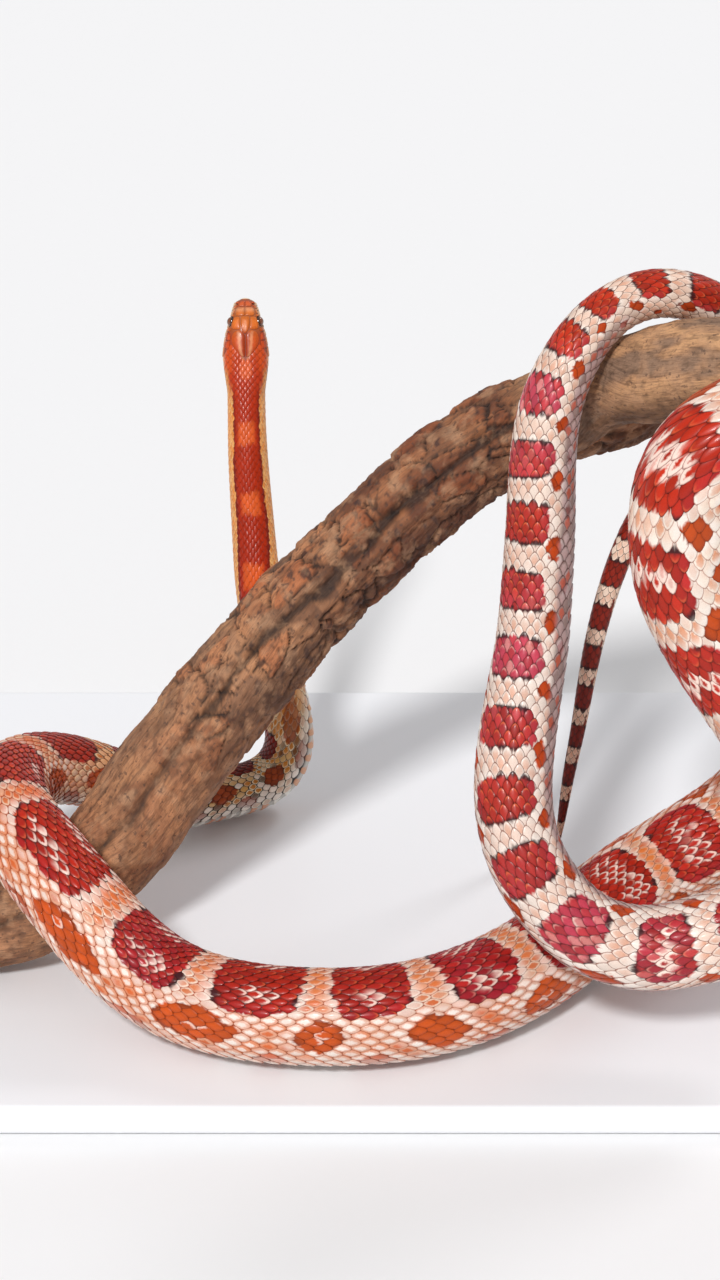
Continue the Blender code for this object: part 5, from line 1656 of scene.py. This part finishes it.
@dataclass
class Branch:
    """The cut length of branch with its limb, and the broken stub."""

    ring_pitch: float = 0.78
    columns: int = 144
    front: tuple[float, float, float] = (0.0, -0.883, 0.469)

    def build(self) -> list[bpy.types.Object]:
        """Builds and dresses both pieces."""
        bark = BarkFinish(
            "bark", roughness=0.78, grain_scale=2600.0, grain_amount=0.5, bump_depth=0.0006,
            bump_strength=0.7).build()
        made = []
        for name, rows, columns, nodes in (
            ("branch_bark", BRANCH, self.columns, BRANCH_NODES),
            ("stub_bark", STUB, 96, ("branch_stub",)),
        ):
            piece = self.limb(name, rows, columns)
            piece.data.materials.append(bark)
            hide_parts(*nodes)
            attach(piece, "root")
            made.append(piece)
        return made

    def limb(self, name: str, rows: Sequence, columns: int) -> bpy.types.Object:
        """One length of branch with cut ends."""
        line = Centreline(rows)
        line.face([0.0, line.length], [(0.0, 0.0, 1.0), (0.0, 0.0, 1.0)])
        rings = int(line.length / self.ring_pitch)
        caps = 6
        body = np.linspace(0.0, line.length, rings)
        table = np.concatenate([np.zeros(caps), body, np.full(caps, line.length)])
        inset = np.concatenate([np.linspace(0.0, 0.97, caps), np.ones(rings), np.linspace(0.97, 0.0, caps)])
        stub = len(rows) < 6

        def place(ring: np.ndarray, column: np.ndarray) -> tuple:
            ring = ring.astype(int)
            spot, share = table[ring], inset[ring]
            turn = 2.0 * math.pi * (column % columns) / columns
            points, radii, backs, sides = line.at(spot)
            out = np.cos(turn)[:, None] * backs + np.sin(turn)[:, None] * sides
            towards = np.arctan2((sides * self.front).sum(axis=1), (backs * self.front).sum(axis=1))
            off_front = np.angle(np.exp(1j * (turn - towards)))
            height, colour = self.bark(spot / line.length, spot, turn, off_front, radii, stub)
            height = height * smooth_step(share, 0.9, 1.0)
            reach = (radii + height) * share
            colour = blend(self.cut_wood(turn, share, colour), colour, smooth_step(share, 0.93, 1.0))
            around = radii * turn
            fibre = np.stack([spot * MM * 10.0, around * MM * 10.0], axis=-1)
            strips = 4 if not stub else 1
            along = np.clip(ring / (len(table) - 1.0), 0.0, 0.99999) * strips
            strip = np.floor(along)
            bake = np.stack([0.01 + 0.98 * (along - strip), (strip + 0.03 + 0.94 * column / columns) / strips], axis=-1)
            return (points + out * reach[:, None]) * MM, {"Pigment": colour}, {"OFBake": bake, "Fibre": fibre}

        return tube(name, len(table), columns, place)

    @staticmethod
    def cut_wood(turn: np.ndarray, share: np.ndarray, bark: np.ndarray) -> np.ndarray:
        """Colours of a sawn end: pale wood with rings."""
        rings = 0.5 + 0.5 * np.sin(share * 46.0 + 0.8 * np.sin(3.0 * turn))
        wood = blend(np.broadcast_to(linear((178, 132, 88)), bark.shape), linear((120, 82, 52)), 0.6 * rings)
        return wood

    def bark(self, share: np.ndarray, spot: np.ndarray, turn: np.ndarray, off_front: np.ndarray, radii: np.ndarray,
             stub: bool) -> tuple[np.ndarray, np.ndarray]:
        """Height and colour of the bark.

        Args:
            share: place along the branch from 0 to 1.
            spot: place along it in mm.
            turn: angle round it in radians.
            off_front: angle from the side that faces forwards.
            radii: the branch's radius there.
            stub: whether this is the broken stub.

        Returns:
            Heights in mm, none above 0.6, and linear colours.
        """
        x, y = radii * np.cos(turn), radii * np.sin(turn)
        lumps = self.sample(spot / 24.0, x / 12.0, y / 12.0, 3)
        fibres = self.sample(spot / 15.0, x / 1.8, y / 1.8, 3)
        fine = self.sample(spot / 2.4, x / 1.7, y / 1.7, 3)
        if stub:
            limb, rough = np.full_like(share, 0.2), np.full_like(share, 0.8)
        else:
            limb = smooth_step(share, 0.60, 0.66)
            rough = (0.30 + 0.70 * smooth_step(share, 0.22, 0.36)) * (1.0 - 0.85 * limb)
        warp = 0.22 * lumps + 0.05 * fine
        _, gaps, tone = self.cells(spot / 14.0 + warp, x / 9.5 + 0.3 * warp, y / 9.5)
        _, seams, shade = self.cells(spot / 5.0 + warp + 9.0, x / 9.0, y / 9.0 + 0.2 * warp)
        crack = np.exp(-((gaps / (0.024 + 0.022 * (1.0 + fine))) ** 2)) * smooth_step(rough, 0.25, 0.6)
        crack = crack * (0.25 + 0.75 * smooth_step(tone, 0.25, 0.45))
        seam = np.exp(-((seams / (0.03 + 0.02 * (1.0 + fine))) ** 2)) * (0.25 + 0.45 * rough) * (tone > 0.4)
        line_off = off_front + 0.22 * lumps + 0.05 * fine
        groove = bell(line_off, 0.05, 0.13) * (1.0 - limb) * (0.75 + 0.25 * smooth_step(share, 0.20, 0.36))
        ridge = (bell(line_off, -0.26, 0.16) + bell(line_off, 0.38, 0.16)) * (1.0 - limb)
        ragged = rough * bell(off_front, -1.15, 0.6) * smooth_step(share, 0.25, 0.36)
        steps = np.floor(3.2 * (0.5 + 0.5 * self.sample(spot / 6.0, x / 3.5, y / 3.5, 2))) / 3.2
        height = -0.7 + 0.9 * lumps + 0.22 * fibres * (1.0 - 0.4 * rough) + 0.24 * fine * (0.4 + rough)
        wrinkle = np.abs(self.sample(spot / 9.0 + 3.0, x / 2.6, y / 2.6, 2))
        wrinkle = (1.0 - smooth_step(wrinkle, 0.0, 0.12)) * (1.0 - rough) * (1.0 - 0.4 * limb)
        height = height + rough * (0.9 * (tone - 0.5) + 0.5 * smooth_step(gaps, 0.0, 0.3)) + 0.9 * ridge
        height = height - 0.5 * wrinkle
        height = height - 1.7 * crack - 0.6 * seam - 2.0 * groove - 1.8 * ragged * (1.0 - steps)
        height = np.clip(height, -3.6, 0.6)

        tan, brown, deep = linear((188, 134, 96)), linear((134, 90, 62)), linear((30, 19, 15))
        worn = np.clip(0.42 + 1.1 * lumps - 0.45 * fine + 0.35 * rough, 0.0, 1.2)
        colour = blend(np.broadcast_to(tan, (len(share), 3)), brown, worn)
        colour = blend(colour, linear((192, 112, 66)), smooth_step(tone, 0.55, 0.95) * rough * 0.6)
        colour = blend(colour, linear((104, 74, 56)), smooth_step(tone, 0.40, 0.05) * rough * 0.6)
        colour = blend(colour, linear((206, 146, 100)), 0.35 * smooth_step(shade, 0.6, 0.95) * (1.0 - limb))
        colour = blend(colour, linear((216, 166, 120)), 0.85 * limb * smooth_step(lumps, -0.6, 0.2))
        aged = smooth_step(share, 0.40, 0.50) * (1.0 - limb) * smooth_step(lumps + 0.5 * tone, -0.3, 0.5)
        colour = blend(colour, linear((98, 50, 30)), 0.6 * aged)
        rusty = smooth_step(share, 0.36, 0.48) * (1.0 - limb)
        colour = colour * (1.0 - rusty[:, None] * np.array((0.06, 0.22, 0.34)))
        # Painted shade: the limb's underside is painted darker
        colour = blend(colour, linear((78, 48, 32)), 0.7 * limb * smooth_step(-np.cos(turn), -0.1, 0.5))
        colour = blend(colour, linear((134, 112, 94)), 0.75 * limb * smooth_step(-lumps, 0.0, 0.4))
        colour = blend(colour, linear((96, 70, 50)), 0.6 * limb * smooth_step(-fine, 0.15, 0.5))
        warts = smooth_step(self.sample(spot / 3.0 + 40.0, x / 3.0, y / 3.0, 1), 0.36, 0.44)
        colour = blend(colour, linear((58, 36, 34)), 0.8 * warts * (0.15 + 0.85 * rough) * (1.0 - 0.6 * limb))
        colour = blend(colour, deep, 0.25 * smooth_step(-fibres, 0.12, 0.5) * (1.0 - 0.6 * limb))
        # Painted shade: the groove, wrinkles, cracks and seams, which the height cuts down, are painted dark brown to
        # near black
        colour = blend(colour, deep, 0.8 * smooth_step(groove, 0.25, 0.9))
        colour = blend(colour, linear((70, 42, 28)), 0.45 * wrinkle)
        colour = blend(colour, deep, 0.9 * smooth_step(crack, 0.2, 0.8))
        colour = blend(colour, deep, 0.7 * smooth_step(seam, 0.2, 0.8))
        colour = blend(colour, linear((66, 44, 34)), 0.6 * ragged)
        return height, colour

    @staticmethod
    def sample(u: np.ndarray, v: np.ndarray, w: np.ndarray, octaves: int) -> np.ndarray:
        """Layered noise from about -1 to 1 at every point."""
        return np.array([
            noise.fractal(Vector(spot), 0.8, 2.1, octaves) for spot in zip(u.tolist(), v.tolist(), w.tolist())])

    @staticmethod
    def cells(u: np.ndarray, v: np.ndarray, w: np.ndarray) -> tuple[np.ndarray, np.ndarray, np.ndarray]:
        """The cracked plates: each point's nearest cell, how far the crack is, and the plate's own tone."""
        near, edge, tone = [], [], []
        for spot in zip(u.tolist(), v.tolist(), w.tolist()):
            distances, middles = noise.voronoi(Vector(spot))
            near.append(distances[0])
            edge.append(distances[1] - distances[0])
            tone.append(0.5 + 0.5 * math.sin(12.9 * middles[0].x + 7.3 * middles[0].y + 3.1 * middles[0].z))
        return np.array(near), np.array(edge), np.array(tone)


@dataclass
class Stand:
    """A flat satin base and two short steel rods."""

    length: float = 340.0
    width: float = 260.0
    thick: float = 10.0
    corner: float = 38.0
    edge: float = 2.0
    rods: tuple = (("stand_rod_left", 53.0, 10.0, 165.0), ("stand_rod_right", 132.0, -35.0, 200.0))
    rod_radius: float = 3.0
    foot_radius: float = 8.0
    foot_thick: float = 3.0
    gap: float = 0.3

    def build(self) -> list[bpy.types.Object]:
        """Builds and dresses the base and the rods."""
        base = self.base()
        base.data.materials.append(PlainFinish(
            "stand_plate", roughness=0.42, grain_scale=2400.0, grain_amount=0.03, coat=0.15, coat_roughness=0.3,
            bump_depth=0.00004, bump_strength=0.2, colour=(0.89, 0.90, 0.925)).build())
        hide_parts("stand_base")
        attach(base, "root")
        steel = BrushedFinish("stand_rod", roughness=0.28, metallic=1.0, grain_scale=3000.0, grain_amount=0.06,
                              bump_depth=0.00002, bump_strength=0.3).build()
        made = [base]
        for name, x, y, top in self.rods:
            rod = self.rod(name + "_steel", x, y, top)
            rod.data.materials.append(steel)
            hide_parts(name)
            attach(rod, "root")
            made.append(rod)
        return made

    def base(self) -> bpy.types.Object:
        """The base: a plate with round corners and softened edges."""
        mesh = bmesh.new()
        bmesh.ops.create_grid(mesh, x_segments=1, y_segments=1, size=0.5)
        bmesh.ops.scale(mesh, verts=mesh.verts, vec=(self.length * MM, self.width * MM, 1.0))
        bmesh.ops.bevel(
            mesh, geom=mesh.verts[:], offset=self.corner * MM, segments=24, profile=0.5, affect="VERTICES",
            material=-1)
        raised = bmesh.ops.extrude_face_region(mesh, geom=mesh.faces[:])
        lifted = [item for item in raised["geom"] if isinstance(item, bmesh.types.BMVert)]
        bmesh.ops.translate(mesh, verts=lifted, vec=(0.0, 0.0, self.thick * MM))
        bmesh.ops.recalc_face_normals(mesh, faces=mesh.faces)
        level = [edge for edge in mesh.edges if abs(edge.verts[0].co.z - edge.verts[1].co.z) < 1e-6]
        bmesh.ops.bevel(
            mesh, geom=level, offset=self.edge * MM, segments=4, profile=0.5, affect="EDGES", material=-1,
            clamp_overlap=True)
        made = object_of("stand_base_plate", mesh)
        for polygon in made.data.polygons:
            polygon.use_smooth = abs(polygon.normal.z) < 0.999
        return made

    def rod(self, name: str, x: float, y: float, top: float) -> bpy.types.Object:
        """A rod spun from its profile: a thin foot, a small fillet and the shaft."""
        floor = self.thick + self.gap
        foot, shaft = self.foot_radius, self.rod_radius
        profile = (
            (0.0, floor), (foot, floor), (foot, floor + self.foot_thick - 0.6), (foot - 0.6, floor + self.foot_thick),
            (shaft + 1.2, floor + self.foot_thick), (shaft + 0.35, floor + self.foot_thick + 0.35),
            (shaft, floor + self.foot_thick + 1.2), (shaft, top - 0.5), (shaft - 0.5, top), (0.0, top))
        mesh = bmesh.new()
        chain = [mesh.verts.new(Vector((out, 0.0, up)) * MM) for out, up in profile]
        edges = [mesh.edges.new(pair) for pair in zip(chain, chain[1:])]
        bmesh.ops.spin(
            mesh, geom=chain + edges, cent=(0, 0, 0), axis=(0, 0, 1), angle=2 * math.pi, steps=48, use_merge=True)
        bmesh.ops.remove_doubles(mesh, verts=mesh.verts, dist=1e-7)
        bmesh.ops.recalc_face_normals(mesh, faces=mesh.faces)
        bmesh.ops.translate(mesh, verts=mesh.verts, vec=Vector((x, y, 0.0)) * MM)
        made = object_of(name, mesh, smooth=False)
        made.data.shade_smooth()
        made.data.set_sharp_from_angle(angle=math.radians(35))
        return made


@dataclass
class Studio:
    """A plain pale floor, soft light and the photograph's camera."""

    target: tuple[float, float, float] = (0.0, 0.0, 0.10)
    elevation: float = 28.0
    distance: float = 1.15
    lens: float = 101.08
    sensor: float = 36.0
    floor_size: float = 14.0

    def build(self) -> None:
        """Makes the floor, the lights and the camera."""
        mesh = bmesh.new()
        bmesh.ops.create_grid(mesh, x_segments=1, y_segments=1, size=self.floor_size / 2)
        bmesh.ops.translate(mesh, verts=mesh.verts, vec=(0.0, 0.0, -0.0002))
        floor = object_of("floor", mesh, smooth=False)
        floor.data.materials.append(PlainFinish(
            "floor_paper", roughness=0.8, grain_scale=300.0, grain_amount=0.01, colour=(0.87, 0.87, 0.875)).build())
        self.camera()
        self.light("key", (-0.30, -1.0, 1.05), 8.0, 2.2, (1.0, 0.995, 0.99))
        self.light("back", (0.9, 0.8, 1.3), 14.0, 0.5, (0.98, 0.98, 1.0))
        world = bpy.data.worlds.new("studio")
        bpy.context.scene.world = world
        world.use_nodes = True
        background = world.node_tree.nodes["Background"]
        background.inputs["Color"].default_value = (0.985, 0.985, 1.0, 1.0)
        background.inputs["Strength"].default_value = 0.46
        view = bpy.context.scene.view_settings
        view.view_transform = "Standard"
        view.look = "None"

    def camera(self) -> None:
        """The camera at the photograph's angle and framing."""
        data = bpy.data.cameras.new("camera")
        data.sensor_fit = "VERTICAL"
        data.sensor_height = self.sensor
        data.lens = self.lens
        data.clip_start, data.clip_end = 0.01, 100.0
        made = bpy.data.objects.new("camera", data)
        bpy.context.scene.collection.objects.link(made)
        tilt = math.radians(self.elevation)
        back = Vector((0.0, -math.cos(tilt), math.sin(tilt)))
        made.location = Vector(self.target) + self.distance * back
        made.rotation_euler = (math.radians(90.0 - self.elevation), 0.0, 0.0)
        bpy.context.scene.camera = made

    def light(self, name: str, way: tuple, spread: float, strength: float, colour: Colour) -> None:
        """One even light from far off, from the given way, as wide as spread in degrees."""
        data = bpy.data.lights.new(name, "SUN")
        data.angle = math.radians(spread)
        data.energy = strength
        data.color = colour
        made = bpy.data.objects.new(name, data)
        bpy.context.scene.collection.objects.link(made)
        made.location = way
        made.rotation_euler = (-Vector(way)).to_track_quat("-Z", "Y").to_euler()


def main() -> None:
    """Builds everything in order and reports each piece."""
    logging.basicConfig(level=logging.INFO, format="%(message)s")
    grain_group()
    Studio().build()
    pieces = Stand().build() + Branch().build() + Snake().build()
    for piece in pieces:
        piece.data.calc_loop_triangles()
        LOG.info("%s: %d triangles", piece.name, len(piece.data.loop_triangles))


if __name__ == "__main__":
    main()
